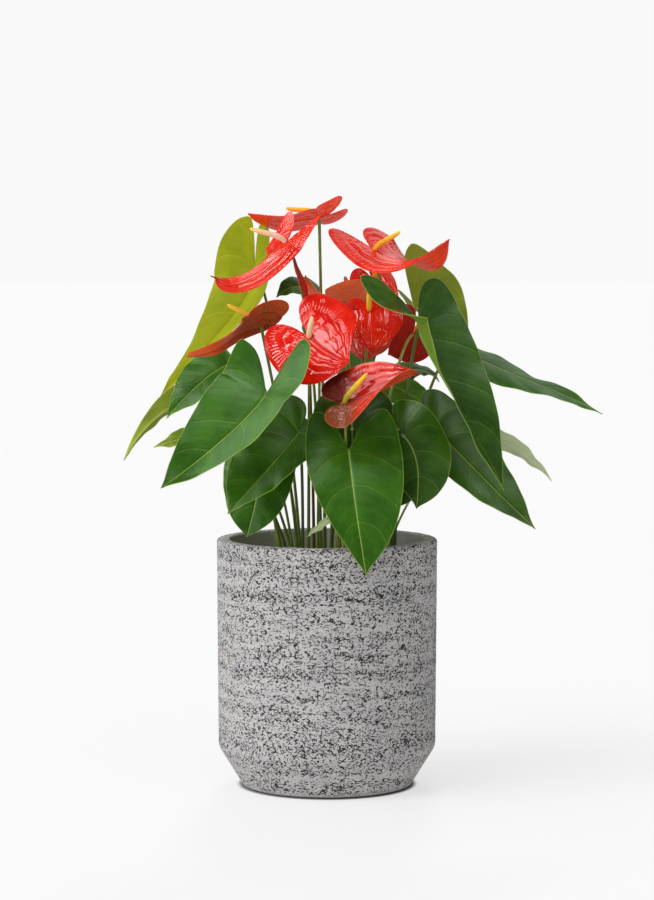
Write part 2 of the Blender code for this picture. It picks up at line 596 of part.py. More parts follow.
def make_bud():
    """The bud: a spathe still rolled to a point, and the stalk that carries it."""
    shares = np.linspace(0, 1, len(BUD_RADII))
    path = cubic_through(BUD_AXIS, shares) * MM
    tube = tube_mesh("bud_spathe", path, BUD_RADII, BUD_SIDES)
    bud = add_object("bud_spathe", tube, RUST, BUD_ROUGHNESS)
    finish_mesh(bud)
    normal = unit(path[1] - path[0])
    stalk_run = stalk_path(BUD_ROOT, BUD_KNEE, path[0], normal, -GAP)
    radii = np.full(len(stalk_run), STALK_RADIUS)
    tube = tube_mesh("bud_stalk", stalk_run, radii, STALK_SIDES)
    stalk = add_object("bud_stalk", tube, STALK_GREEN, STALK_ROUGHNESS)
    finish_mesh(stalk)
    return bud, stalk


def arc(centre, radius, start, end, steps):
    """Points of an arc in the (radius, height) plane, with its angles in degrees."""
    angles = np.radians(np.linspace(start, end, steps + 1))
    return [(centre[0] + radius * math.cos(a), centre[1] + radius * math.sin(a)) for a in angles]


def turned_mesh(name, profile, sides):
    """A solid turned about +Z from a profile that starts and ends on the axis, outer side first."""
    shape = bmesh.new()
    rings = []
    for radius, height in profile:
        if radius < 1e-6:
            rings.append([shape.verts.new((0, 0, height))])
        else:
            angles = [2 * math.pi * i / sides for i in range(sides)]
            points = [(radius * math.cos(a), radius * math.sin(a), height) for a in angles]
            rings.append([shape.verts.new(point) for point in points])
    for first, second in zip(rings, rings[1:]):
        for i in range(sides):
            j = (i + 1) % sides
            upper = (second[j % len(second)], second[i % len(second)])
            corners = (first[i % len(first)], first[j % len(first)], *upper)
            shape.faces.new(list(dict.fromkeys(corners)))
    bmesh.ops.recalc_face_normals(shape, faces=shape.faces)
    mesh = bpy.data.meshes.new(name)
    shape.to_mesh(mesh)
    shape.free()
    return mesh


def inner_radius():
    """The planter's inside radius at the height of the potting mix and above."""
    return RIM_RADIUS - WALL


def make_planter():
    """The planter: a tall drum with a tapered foot, one cement body with a rounded rim."""
    inner = inner_radius()
    rim = WALL / 2
    profile = [(0, 0)]
    profile += [(BASE_RADIUS - EDGE_ROUND, 0)]
    profile += arc((BASE_RADIUS - EDGE_ROUND, EDGE_ROUND), EDGE_ROUND, -60, -20, 1)
    profile += [(SHOULDER_RADIUS - SHOULDER_INSET, CONE_HEIGHT - SHOULDER_BELOW)]
    profile += [(SHOULDER_RADIUS, CONE_HEIGHT + SHOULDER_ABOVE)]
    profile += arc((RIM_RADIUS - rim, PLANTER_HEIGHT - rim * RIM_FLAT), rim, 0, 40, 1)
    profile += [(RIM_RADIUS - rim * RIM_FLAT, PLANTER_HEIGHT), (inner + rim * RIM_FLAT, PLANTER_HEIGHT)]
    profile += [(inner + rim * RIM_INNER_EASE, PLANTER_HEIGHT - rim * RIM_INNER_EASE)]
    profile += [(inner, PLANTER_HEIGHT - rim * RIM_INNER_DROP), (inner, FLOOR + FLOOR_TAPER)]
    profile += [(BASE_RADIUS - WALL, FLOOR), (0, FLOOR)]
    planter = add_object("planter", turned_mesh("planter", profile, PLANTER_SIDES), CEMENT, CEMENT_ROUGHNESS)
    finish_mesh(planter)
    return planter


def soil_height(x, y):
    """Height of the potting mix's uneven top."""
    broad, fine = SOIL_RIPPLES
    ripple = math.sin(x * broad[0] + 0.4) * math.cos(y * broad[1] + 1.1)
    ripple += SOIL_FINE_SHARE * math.sin(x * fine[0] + y * fine[1])
    return SOIL_TOP + SOIL_UNEVEN * ripple / (1 + SOIL_FINE_SHARE)


def make_soil(roots):
    """The potting mix: it fills the planter below its top, with a plain hole at each stalk's root."""
    radius = inner_radius() * math.cos(math.pi / PLANTER_SIDES) - GAP
    sides = SOIL_SIDES
    lowest = FLOOR + GAP
    shape = bmesh.new()
    centre = shape.verts.new((0, 0, soil_height(0, 0)))
    rings = []
    for level in range(1, SOIL_RINGS + 1):
        ring = []
        for i in range(sides):
            angle = 2 * math.pi * i / sides
            x = radius * level / SOIL_RINGS * math.cos(angle)
            y = radius * level / SOIL_RINGS * math.sin(angle)
            ring.append(shape.verts.new((x, y, soil_height(x, y))))
        rings.append(ring)
    for reach, height in ((radius, FLOOR + FLOOR_TAPER), (BASE_RADIUS - WALL - 2 * GAP, lowest)):
        angles = [2 * math.pi * i / sides for i in range(sides)]
        points = [(reach * math.cos(a), reach * math.sin(a), height) for a in angles]
        rings.append([shape.verts.new(point) for point in points])
    for i in range(sides):
        shape.faces.new((centre, rings[0][i], rings[0][(i + 1) % sides]))
    for first, second in zip(rings, rings[1:]):
        for i in range(sides):
            j = (i + 1) % sides
            shape.faces.new((first[i], second[i], second[j], first[j]))
    shape.faces.new(rings[-1][::-1])
    bmesh.ops.triangulate(shape, faces=shape.faces)
    bmesh.ops.recalc_face_normals(shape, faces=shape.faces)
    mesh = bpy.data.meshes.new("potting_mix")
    shape.to_mesh(mesh)
    shape.free()
    soil = add_object("potting_mix", mesh, SOIL, SOIL_ROUGHNESS)
    combine(soil, helper("stalk_holes", holes_mesh(roots)), "DIFFERENCE")
    return soil


def holes_mesh(roots):
    """Upright plugs, a little wider and deeper than the stalks that stand at these roots."""
    shape = bmesh.new()
    angles = [2 * math.pi * i / STALK_SIDES for i in range(STALK_SIDES)]
    radius = STALK_RADIUS + GAP / math.cos(math.pi / STALK_SIDES)
    low = SOIL_TOP - HOLE_DEPTH - GAP
    high = SOIL_TOP + 3 * SOIL_UNEVEN
    for x, y in roots:
        rings = []
        for height in (low, high):
            points = [(x * MM + radius * math.cos(a), y * MM + radius * math.sin(a), height) for a in angles]
            rings.append([shape.verts.new(point) for point in points])
        for i in range(STALK_SIDES):
            j = (i + 1) % STALK_SIDES
            shape.faces.new((rings[0][i], rings[0][j], rings[1][j], rings[1][i]))
        shape.faces.new(rings[0][::-1])
        shape.faces.new(rings[1])
    mesh = bpy.data.meshes.new("stalk_holes")
    shape.to_mesh(mesh)
    shape.free()
    return mesh


def main():
    """Builds the whole plant."""
    clear_scene()
    make_planter()
    make_soil([blade.root for blade in LEAVES + BLOOMS] + [BUD_ROOT])
    for blade in LEAVES:
        make_leaf(blade)
    for blade in BLOOMS:
        make_bloom(blade)
    make_bud()


main()
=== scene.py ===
"""Looks of the potted anthurium: planter, potting mix, leaves, blooms, bud, studio floor, light and camera."""

import logging
import math
from dataclasses import dataclass
from enum import Enum
from typing import Optional, Union

import bmesh
import bpy
import numpy as np
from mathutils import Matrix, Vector


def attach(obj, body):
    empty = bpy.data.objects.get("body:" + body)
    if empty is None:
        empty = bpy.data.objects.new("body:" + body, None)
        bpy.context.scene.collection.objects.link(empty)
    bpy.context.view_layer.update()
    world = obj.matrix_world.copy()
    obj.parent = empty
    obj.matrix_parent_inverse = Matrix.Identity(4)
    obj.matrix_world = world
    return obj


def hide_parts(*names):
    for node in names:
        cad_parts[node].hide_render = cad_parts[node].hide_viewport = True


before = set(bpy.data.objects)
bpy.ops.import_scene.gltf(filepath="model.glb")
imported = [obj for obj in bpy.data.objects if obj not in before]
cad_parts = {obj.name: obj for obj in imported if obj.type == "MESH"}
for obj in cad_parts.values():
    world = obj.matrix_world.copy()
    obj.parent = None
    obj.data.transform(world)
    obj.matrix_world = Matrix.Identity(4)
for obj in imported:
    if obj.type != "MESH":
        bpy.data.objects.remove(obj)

LOG = logging.getLogger("anthurium")

Pair = tuple[float, float]
Triple = tuple[float, float, float]
Colour = tuple[float, float, float]
Socket = bpy.types.NodeSocket
Input = Union[Socket, float, Triple]

MM = 0.001
BODY = "root"

SPINE_SAMPLES = 61
MARGIN_SAMPLES = 40
FIRST_RAY_SAMPLE = 14
BLADE_THICKNESS = 0.9
EDGE_THICKNESS = 0.55
SOIL_TOP = 0.225
SOIL_UNEVEN = 0.0022
HOLE_DEPTH = 0.022
SQUARE_END = 0.003
HAIR = 1e-6

LEAF_SHOULDER = 0.46
SPATHE_SHOULDER = 0.50
TWIST_EASE = 1.3
FEET_EASE = 1.15
LOBE_EASE = 0.6
WAVE_SHIFT = 0.31
LEAST_BEND = 0.01
STEP_EASE = 0.72
EDGE_TAPER = 5
FLUTTER_STEP = 0.137
SHARP_ANGLE = 50

STALK_LEAN = 0.2
STALK_RISE = 0.45
STALK_POINTS = 40
LEAF_STALK_STOP = 0.5
BLOOM_STALK_STOP = -0.4
PEDUNCLE_RADIUS = 1.6
PEDUNCLE_NECK = 0.15
SPADIX_LIFT = 0.3
SPADIX_UPRIGHT = 0.25
SPADIX_BOW = 0.6
SPADIX_POINTS = 24
FLOWERS_PER_MM = 15
FLOWER_SINK = 0.55
CORE_INSET = 0.0003
LEAST_CORE = 0.0001
CRUMB_SHAPE = (1.3, 0.8, 0.6)
CRUMB_TURN = 6.283
GRAIN_SPAN = (0.3, 0.7)


def unit(vector: np.ndarray) -> np.ndarray:
    """The vector at length one."""
    vector = np.asarray(vector, float)
    return vector / np.linalg.norm(vector)


def bezier(points: np.ndarray, shares: np.ndarray) -> np.ndarray:
    """Samples a cubic Bezier curve.

    Args:
        points: the four control points.
        shares: where on the run, 0 to 1.

    Returns:
        One point for each share.
    """
    t = np.asarray(shares, float)[:, None]
    a, b, c, d = (np.asarray(point, float) for point in points)
    return (1 - t) ** 3 * a + 3 * (1 - t) ** 2 * t * b + 3 * (1 - t) * t * t * c + t**3 * d


def cubic_through(points: np.ndarray, shares: np.ndarray) -> np.ndarray:
    """Samples the cubic that passes four points at shares 0, 1/3, 2/3 and 1.

    Args:
        points: the four points.
        shares: where on the run, 0 to 1.

    Returns:
        One point for each share.
    """
    t = np.asarray(shares, float)[:, None]
    a, b, c, d = (np.asarray(point, float) for point in points)
    near_start = (1 - 3 * t) * (2 - 3 * t) * (1 - t) / 2
    first_third = 9 * t * (2 - 3 * t) * (1 - t) / 2
    second_third = 9 * t * (3 * t - 1) * (1 - t) / 2
    near_end = t * (3 * t - 1) * (3 * t - 2) / 2
    return near_start * a + first_third * b + second_third * c + near_end * d


def round_angles(count: int) -> np.ndarray:
    """Even angles round a circle."""
    return np.arange(count) * 2 * math.pi / count


def smooth(value: np.ndarray, low: float, high: float) -> np.ndarray:
    """A soft step from 0 at `low` to 1 at `high`."""
    share = np.clip((value - low) / (high - low), 0, 1)
    return share * share * (3 - 2 * share)


def mesh_of(name: str, points: np.ndarray, faces: list) -> bpy.types.Mesh:
    """Makes a smooth-shaded mesh.

    Args:
        name: the mesh's name.
        points: vertex places in metres.
        faces: corner indices of each face.

    Returns:
        The mesh.
    """
    mesh = bpy.data.meshes.new(name)
    mesh.from_pydata([tuple(point) for point in points], [], faces)
    mesh.update()
    mesh.shade_smooth()
    return mesh


def store(mesh: bpy.types.Mesh, name: str, values: np.ndarray) -> None:
    """Keeps one number for each vertex of the mesh as a named attribute."""
    layer = mesh.attributes.new(name, "FLOAT", "POINT")
    layer.data.foreach_set("value", np.asarray(values, np.float32))


def show(name: str, mesh: bpy.types.Mesh, finish: bpy.types.Material, slot: str, *nodes: str) -> bpy.types.Object:
    """Puts a finished mesh into the scene as a named piece of the plant.

    Args:
        name: the piece's name.
        mesh: its mesh, with its place in the vertices.
        finish: its material.
        slot: the record's material slot; not used.
        nodes: the solids that the piece stands for.

    Returns:
        The piece.
    """
    piece = bpy.data.objects.new(name, mesh)
    bpy.context.collection.objects.link(piece)
    mesh.materials.clear()
    mesh.materials.append(finish)
    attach(piece, BODY)
    if nodes:
        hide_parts(*nodes)
    LOG.info("%s: %d faces", name, len(mesh.polygons))
    return piece


class Rig:
    """Lays and links the nodes of one tree."""

    def __init__(self, tree: bpy.types.NodeTree) -> None:
        """Keeps the tree and starts at its left edge."""
        self.tree = tree
        self.place = 0

    def add(self, kind: str, **settings: object) -> bpy.types.Node:
        """Adds a node.

        Args:
            kind: the node's type name.
            settings: properties to set on it.

        Returns:
            The node.
        """
        node = self.tree.nodes.new(kind)
        node.location = (self.place * 180, -(self.place % 5) * 160)
        self.place += 1
        for key, value in settings.items():
            setattr(node, key, value)
        return node

    def lay(self, kind: str, feeds: dict[str, object], **settings: object) -> bpy.types.Node:
        """Adds a node and feeds its inputs.

        Args:
            kind: the node's type name.
            feeds: an input's name, and the socket or value that feeds it.
            settings: properties to set on the node.

        Returns:
            The node.
        """
        node = self.add(kind, **settings)
        for key, value in feeds.items():
            self.put(node.inputs[key], value)
        return node

    def put(self, target: Socket, value: Input) -> None:
        """Links a socket to the target, or sets the target's own value."""
        if isinstance(value, bpy.types.NodeSocket):
            self.tree.links.new(value, target)
        else:
            target.default_value = value

    def math(self, operation: str, *values: Input) -> Socket:
        """A Math node's result for these values."""
        node = self.add("ShaderNodeMath", operation=operation)
        for target, value in zip(node.inputs, values):
            self.put(target, value)
        return node.outputs[0]

    def times(self, first: Input, second: Input) -> Socket:
        """The product of two numbers."""
        return self.math("MULTIPLY", first, second)

    def plus(self, first: Input, second: Input) -> Socket:
        """The sum of two numbers."""
        return self.math("ADD", first, second)

    def minus(self, first: Input, second: Input) -> Socket:
        """The first number less the second."""
        return self.math("SUBTRACT", first, second)

    def larger(self, first: Input, second: Input) -> Socket:
        """The larger of two numbers."""
        return self.math("MAXIMUM", first, second)

    def vector(self, operation: str, *values: Input) -> Socket:
        """A Vector Math node's result for these values."""
        node = self.add("ShaderNodeVectorMath", operation=operation)
        for target, value in zip(node.inputs, values):
            self.put(target, value)
        return node.outputs["Value"] if operation in ("DOT_PRODUCT", "LENGTH") else node.outputs[0]

    def step(self, value: Input, low: Input, high: Input, start: Input = 0.0, end: Input = 1.0) -> Socket:
        """A soft step of the value from `start` at `low` to `end` at `high`."""
        node = self.add("ShaderNodeMapRange", interpolation_type="SMOOTHSTEP")
        for key, given in (("Value", value), ("From Min", low), ("From Max", high), ("To Min", start), ("To Max", end)):
            self.put(node.inputs[key], given)
        return node.outputs["Result"]

    def fall(self, value: Input, low: Input, high: Input) -> Socket:
        """A soft step of the value from 1 at `low` to 0 at `high`."""
        return self.step(value, low, high, 1.0, 0.0)

    def between(self, value: Input, rise: Pair, fall: Pair) -> Socket:
        """1 between two soft steps of the value, 0 outside them."""
        return self.times(self.step(value, *rise), self.fall(value, *fall))

    def mix(self, share: Input, first: Union[Socket, Colour], second: Union[Socket, Colour]) -> Socket:
        """Blends two colours by a share."""
        node = self.add("ShaderNodeMix", data_type="RGBA", clamp_factor=True)
        self.put(node.inputs[0], share)
        for target, value in ((node.inputs[6], first), (node.inputs[7], second)):
            self.put(target, value if isinstance(value, bpy.types.NodeSocket) else (*value, 1))
        return node.outputs[2]

    def tint(self, level: Socket) -> Socket:
        """A grey of this level."""
        node = self.add("ShaderNodeCombineColor")
        for target in node.inputs:
            self.put(target, level)
        return node.outputs[0]

    def noise(self, place: Socket, scale: Input, detail: float = 2.0, rough: float = 0.5) -> Socket:
        """A noise value between 0 and 1 at the place."""
        node = self.add("ShaderNodeTexNoise")
        self.put(node.inputs["Vector"], place)
        self.put(node.inputs["Scale"], scale)
        node.inputs["Detail"].default_value = detail
        node.inputs["Roughness"].default_value = rough
        return node.outputs["Fac"]

    def stretch(self, place: Socket, scale: Input) -> Socket:
        """The place with each axis scaled."""
        return self.vector("MULTIPLY", place, scale)

    def attribute(self, name: str) -> Socket:
        """A number kept on the mesh."""
        return self.add("ShaderNodeAttribute", attribute_name=name).outputs["Fac"]

    def coordinates(self) -> Socket:
        """Object coordinates."""
        return self.add("ShaderNodeTexCoord").outputs["Object"]

    def group(self, tree: bpy.types.NodeTree, **values: Input) -> bpy.types.Node:
        """Places a shader node group and feeds its named inputs.

        Args:
            tree: the group.
            values: an input's name with _ for each space, and what feeds it.

        Returns:
            The group node.
        """
        node = self.add("ShaderNodeGroup", node_tree=tree)
        for key, value in values.items():
            self.put(node.inputs[key.replace("_", " ").title()], value)
        return node


def new_group(name: str, inputs: dict[str, float], outputs: list[str], vectors: tuple = ("Place",)) -> tuple:
    """Starts a shader node group with named sockets.

    Args:
        name: the group's name.
        inputs: input names with their defaults.
        outputs: output names, all numbers.
        vectors: the inputs that take a place.

    Returns:
        The tree, its rig, its input node and its output node.
    """
    tree = bpy.data.node_groups.new(name, "ShaderNodeTree")
    for key, value in inputs.items():
        kind = "NodeSocketVector" if key in vectors else "NodeSocketFloat"
        socket = tree.interface.new_socket(key, in_out="INPUT", socket_type=kind)
        if key not in vectors:
            socket.default_value = value
    for key in outputs:
        tree.interface.new_socket(key, in_out="OUTPUT", socket_type="NodeSocketFloat")
    rig = Rig(tree)
    return tree, rig, rig.add("NodeGroupInput"), rig.add("NodeGroupOutput")


class Effects:
    """The surface effects that several finishes share, each as one node group."""

    def __init__(self) -> None:
        """Builds every group once."""
        self.veins = self.vein_group()
        self.loops = self.loop_group()
        self.mottle = self.mottle_group()
        self.pits = self.pit_group()

    @staticmethod
    def vein_group() -> bpy.types.NodeTree:
        """Side veins that leave the midrib and bow towards the tip.

        Returns:
            A group that puts out 1 on a vein and 0 between veins.
        """
        defaults = {"Ray": 0, "Reach": 0, "Count": 8, "Bow": 0.5, "Width": 0.05, "Soft": 0.06, "Fade": 0.93}
        tree, rig, given, made = new_group("side_veins", defaults, ["Vein"])
        socket = given.outputs
        bow = rig.times(rig.times(socket["Reach"], socket["Reach"]), socket["Bow"])
        phase = rig.minus(rig.times(socket["Ray"], socket["Count"]), bow)
        away = rig.math("ABSOLUTE", rig.minus(rig.math("FRACT", rig.plus(phase, 8.0)), 0.5))
        edge = rig.plus(socket["Width"], socket["Soft"])
        line = rig.fall(away, socket["Width"], edge)
        fade = rig.fall(socket["Reach"], socket["Fade"], rig.plus(socket["Fade"], 0.05))
        rig.put(made.inputs["Vein"], rig.times(line, fade))
        return tree

    @staticmethod
    def loop_group() -> bpy.types.NodeTree:
        """A vein that runs round a blade at one share of its half width.

        Returns:
            A group that puts out 1 on the loop.
        """
        defaults = {"Reach": 0, "Ray": 0, "At": 0.7, "Sway": 0.02, "Count": 8, "Width": 0.02}
        tree, rig, given, made = new_group("round_vein", defaults, ["Vein"])
        socket = given.outputs
        turn = rig.times(rig.times(socket["Ray"], socket["Count"]), 2 * math.pi)
        swing = rig.times(rig.math("COSINE", turn), socket["Sway"])
        centre = rig.plus(socket["At"], swing)
        away = rig.math("ABSOLUTE", rig.minus(socket["Reach"], centre))
        rig.put(made.inputs["Vein"], rig.fall(away, 0.0, socket["Width"]))
        return tree

    @staticmethod
    def mottle_group() -> bpy.types.NodeTree:
        """Soft patches with fine grain in them.

        Returns:
            A group that puts out patches with grain in them, round 0.5, and the fine grain alone.
        """
        defaults = {"Place": 0, "Patch": 20, "Grain": 220, "Share": 0.35}
        tree, rig, given, made = new_group("mottle", defaults, ["Value", "Fine"])
        socket = given.outputs
        patch = rig.noise(socket["Place"], socket["Patch"], 3.0, 0.55)
        grain = rig.noise(socket["Place"], socket["Grain"], 2.0, 0.6)
        rest = rig.minus(1.0, socket["Share"])
        both = rig.plus(rig.times(patch, rest), rig.times(grain, socket["Share"]))
        rig.put(made.inputs["Value"], both)
        rig.put(made.inputs["Fine"], grain)
        return tree

    @staticmethod
    def pit_group() -> bpy.types.NodeTree:
        """Small dark curled pits that gather in level streaks with bare bands between them.

        Returns:
            A group that puts out 1 in a pit.
        """
        defaults = {"Place": 0, "Pit Scale": 400, "Flatness": 2.4, "Streak Scale": 30, "Level": 0.55, "Gather": 0.2}
        tree, rig, given, made = new_group("level_pits", defaults, ["Pit"])
        socket = given.outputs
        flat = rig.lay("ShaderNodeCombineXYZ", {"X": 1.0, "Y": 1.0, "Z": socket["Flatness"]}).outputs[0]
        place = rig.stretch(socket["Place"], flat)
        dots = rig.noise(place, socket["Pit Scale"], 1.0)
        cut = rig.noise(rig.vector("ADD", place, (3.1, 1.7, 0.9)), rig.times(socket["Pit Scale"], 1.2), 1.0)
        level = rig.stretch(socket["Place"], (1.0, 1.0, 5.5))
        streak = rig.noise(level, socket["Streak Scale"], 3.0, 0.6)
        height = rig.lay("ShaderNodeSeparateXYZ", {"Vector": socket["Place"]}).outputs[2]
        band = rig.noise(rig.lay("ShaderNodeCombineXYZ", {"Z": height}).outputs[0], 62.0)
        dense = rig.plus(rig.times(streak, 0.6), rig.times(band, 0.55))
        shift = rig.times(rig.minus(dense, 0.57), socket["Gather"])
        low = rig.minus(socket["Level"], shift)
        curl = rig.math("ABSOLUTE", rig.minus(dots, 0.53))
        thin = rig.fall(curl, 0.054, 0.066)
        rig.put(made.inputs["Pit"], rig.times(thin, rig.step(cut, low, rig.plus(low, 0.015))))
        return tree


EFFECTS = Effects()


def surface(name: str) -> tuple[bpy.types.Material, Rig, bpy.types.Node]:
    """Starts a material.

    Args:
        name: the material's name.

    Returns:
        The material, its rig and its Principled BSDF.
    """
    found = bpy.data.materials.new(name)
    found.use_nodes = True
    return found, Rig(found.node_tree), found.node_tree.nodes["Principled BSDF"]


def raise_normal(rig: Rig, target: Socket, height: Socket, strength: float, depth: float) -> None:
    """Feeds a normal from a height, with the relief's depth in metres."""
    bump = rig.add("ShaderNodeBump")
    bump.inputs["Strength"].default_value = strength
    bump.inputs["Distance"].default_value = depth
    rig.put(bump.inputs["Height"], height)
    rig.put(target, bump.outputs["Normal"])


def scaled(colour: Colour, share: float) -> Colour:
    """The colour made darker or paler, at most white."""
    return tuple(min(1.0, share * value) for value in colour)


def grainy(rig: Rig, mottle: bpy.types.Node, low: float, high: float) -> Socket:
    """A roughness between two values that follows the fine grain."""
    return rig.step(mottle.outputs["Fine"], *GRAIN_SPAN, low, high)


@dataclass(frozen=True)
class LeafFinish:
    """Satin green of a leaf: ground tones, veins, margin line and the paler underside."""

    name: str
    slot: str
    deep: Colour
    fresh: Colour
    vein: Colour
    under: Colour
    vein_share: float = 0.17
    ring_share: float = 0.45
    fine_share: float = 0.22
    midrib_share: float = 0.8
    margin_share: float = 0.6
    gloss: float = 0.36
    under_dull: float = 0.22
    veins: float = 6.0
    drift: float = 0.05
    shine: float = 0.22

    def make(self) -> bpy.types.Material:
        """Builds the material.

        Returns:
            The leaf's material.
        """
        found, rig, bsdf = surface(self.name)
        place = rig.coordinates()
        ray, reach, along = (rig.attribute(key) for key in ("ray", "reach", "along"))
        under, rib, edge = (rig.attribute(key) for key in ("under", "rib", "edge"))
        mottle = rig.group(EFFECTS.mottle, place=place, patch=34.0, grain=420.0, share=0.25)
        tone = rig.step(mottle.outputs["Value"], 0.32, 0.66)
        ground = rig.mix(tone, self.deep, self.fresh)
        ground = rig.mix(under, ground, rig.mix(tone, self.under, scaled(self.under, 0.82)))
        ray = rig.plus(ray, rig.times(rig.minus(rig.noise(place, 26.0), 0.5), self.drift))
        side = rig.group(EFFECTS.veins, ray=ray, reach=reach, count=self.veins, bow=0.55, width=0.006, soft=0.045)
        fine = rig.group(EFFECTS.veins, ray=ray, reach=reach, count=self.veins * 4, bow=2.0, width=0.0, soft=0.30)
        ring = rig.group(EFFECTS.loops, ray=ray, reach=reach, at=0.9, sway=0.015, count=self.veins, width=0.016)
        lines = rig.larger(side.outputs[0], rig.times(ring.outputs[0], self.ring_share))
        weak = rig.larger(lines, rig.times(fine.outputs[0], self.fine_share))
        ground = rig.mix(rig.times(weak, self.vein_share), ground, self.vein)
        wide = rig.plus(0.55, rig.times(rig.minus(1.0, along), 0.65))
        middle = rig.fall(rib, 0.25, wide)
        ground = rig.mix(rig.times(middle, self.midrib_share), ground, self.vein)
        rim = rig.step(edge, 0.25, 0.85, self.margin_share, 0.0)
        ground = rig.mix(rim, ground, scaled(self.vein, 1.15))
        rig.put(bsdf.inputs["Base Color"], ground)
        rough = grainy(rig, mottle, self.gloss - 0.05, self.gloss + 0.06)
        rig.put(bsdf.inputs["Roughness"], rig.plus(rough, rig.times(under, self.under_dull)))
        bsdf.inputs["Specular IOR Level"].default_value = self.shine
        relief = rig.minus(rig.times(mottle.outputs["Fine"], 0.25), rig.plus(lines, middle))
        relief = rig.plus(relief, rig.times(fine.outputs[0], -0.3))
        raise_normal(rig, bsdf.inputs["Normal"], relief, 0.3, 0.0004)
        return found


@dataclass(frozen=True)
class SpatheFinish:
    """Waxy skin of a bloom: deep and bright tones, round veins, small glossy ripples and a duller back.

    The lobes may have tones of their own: the near lobe its own colour, the far lobe a darker painted shade;
    `lobe_coat` is the share of gloss that each lobe keeps.
    """

    name: str
    slot: str
    deep: Colour
    bright: Colour
    under: Colour
    tip: Colour = (0.8, 0.3, 0.05)
    tip_share: float = 0.0
    tip_from: float = 0.93
    lobe: Colour = (0.15, 0.04, 0.01)
    # far_lobe_painted_shade: a darker tone painted on the far half's lobe as shade
    far_lobe_painted_shade: Colour = (0.15, 0.04, 0.01)
    lobe_share: float = 0.0
    lobe_span: Pair = (0.30, 0.62)
    lobe_coat: Pair = (1.0, 1.0)
    line: Colour = (0.40, 0.008, 0.004)
    line_share: float = 0.3
    rim: Colour = (0.70, 0.08, 0.05)
    rim_share: float = 0.35
    gloss: float = 0.12
    under_dull: float = 0.12
    bare_dull: float = 0.4
    shine: float = 0.45
    coat: float = 0.2
    veins: float = 7.0
    ribs: float = 38.0
    rings: float = 7.5
    drift: float = 0.03
    grain_depth: float = 0.12
    line_depth: float = 0.7
    rib_depth: float = 0.62

    def lines(self, rig: Rig, ray: Socket, reach: Socket, rib: Socket) -> Socket:
        """1 on the two round veins and on the midrib."""
        inner, outer = (
            rig.group(EFFECTS.loops, ray=ray, reach=reach, at=at, sway=sway, count=self.veins, width=0.035).outputs[0]
            for at, sway in ((0.30, 0.03), (0.58, 0.02))
        )
        return rig.larger(rig.larger(inner, outer), rig.fall(rib, 0.3, 1.2))

    def ripples(self, rig: Rig, place: Socket, ray: Socket, reach: Socket) -> Socket:
        """Height of the small ripples, stronger in patches.

        Args:
            rig: the material's rig.
            place: where on the object.
            ray: which side line.
            reach: share of the way to the margin.

        Returns:
            Ribs that fan out in a belt near the margin, and arcs inside it.
        """
        drift = rig.times(rig.minus(rig.noise(place, 60.0), 0.5), self.drift)
        turn = rig.times(rig.plus(ray, drift), 2 * math.pi * self.ribs)
        belt = rig.between(reach, (0.54, 0.66), (0.86, 0.94))
        bow = rig.times(rig.math("SINE", rig.times(ray, 2 * math.pi * self.veins)), 0.022)
        ring = rig.times(rig.plus(rig.plus(reach, bow), drift), 2 * math.pi * self.rings)
        inside = rig.between(reach, (0.12, 0.25), (0.52, 0.62))
        arcs = rig.times(rig.math("SINE", ring), inside)
        patchy = rig.step(rig.noise(place, 42.0), 0.36, 0.60, 0.25, 1.0)
        return rig.times(rig.plus(rig.times(rig.math("SINE", turn), belt), arcs), patchy)

    def make(self) -> bpy.types.Material:
        """Builds the material.

        Returns:
            The spathe's material.
        """
        found, rig, bsdf = surface(self.name)
        place = rig.coordinates()
        ray, reach, along, side = (rig.attribute(key) for key in ("ray", "reach", "along", "side"))
        under, rib, edge = (rig.attribute(key) for key in ("under", "rib", "edge"))
        mottle = rig.group(EFFECTS.mottle, place=place, patch=48.0, grain=520.0, share=0.2)
        tone = rig.step(mottle.outputs["Value"], 0.34, 0.64)
        ground = rig.mix(tone, self.deep, self.bright)
        near = rig.times(rig.fall(ray, *self.lobe_span), self.lobe_share)
        # Painted shade: the far half's lobe takes a darker tone where shade falls; the near lobe keeps its own tone.
        ground = rig.mix(near, ground, rig.mix(side, self.lobe, self.far_lobe_painted_shade))
        near_coat = rig.step(side, 0.0, 1.0, *self.lobe_coat)
        kept = rig.plus(rig.times(rig.minus(near_coat, 1.0), near), 1.0)
        ground = rig.mix(under, ground, rig.mix(tone, self.under, scaled(self.under, 0.8)))
        end = rig.times(rig.step(along, self.tip_from, 1.0), self.tip_share)
        ground = rig.mix(end, ground, self.tip)
        lines = self.lines(rig, ray, reach, rib)
        ground = rig.mix(rig.times(lines, self.line_share), ground, self.line)
        ground = rig.mix(rig.step(edge, 0.3, 1.0, self.rim_share, 0.0), ground, self.rim)
        rig.put(bsdf.inputs["Base Color"], ground)
        rough = grainy(rig, mottle, self.gloss - 0.03, self.gloss + 0.04)
        rough = rig.plus(rough, rig.times(rig.minus(1.0, kept), self.bare_dull))
        rig.put(bsdf.inputs["Roughness"], rig.plus(rough, rig.times(under, self.under_dull)))
        coat = rig.step(under, 0.0, 1.0, self.coat, 0.6 * self.coat)
        rig.put(bsdf.inputs["Coat Weight"], rig.times(coat, kept))
        even = {
            "Coat Roughness": 0.07,
            "Coat IOR": 1.44,
            "Subsurface Weight": 0.5,
            "Subsurface Radius": (1.0, 0.10, 0.05),
            "Subsurface Scale": 0.003,
            "Specular IOR Level": self.shine,
        }
        for key, value in even.items():
            bsdf.inputs[key].default_value = value
        relief = rig.minus(rig.times(mottle.outputs["Fine"], self.grain_depth), rig.times(lines, self.line_depth))
        relief = rig.plus(relief, rig.times(self.ripples(rig, place, ray, reach), self.rib_depth))
        raise_normal(rig, bsdf.inputs["Normal"], relief, 0.7, 0.0005)
        return found


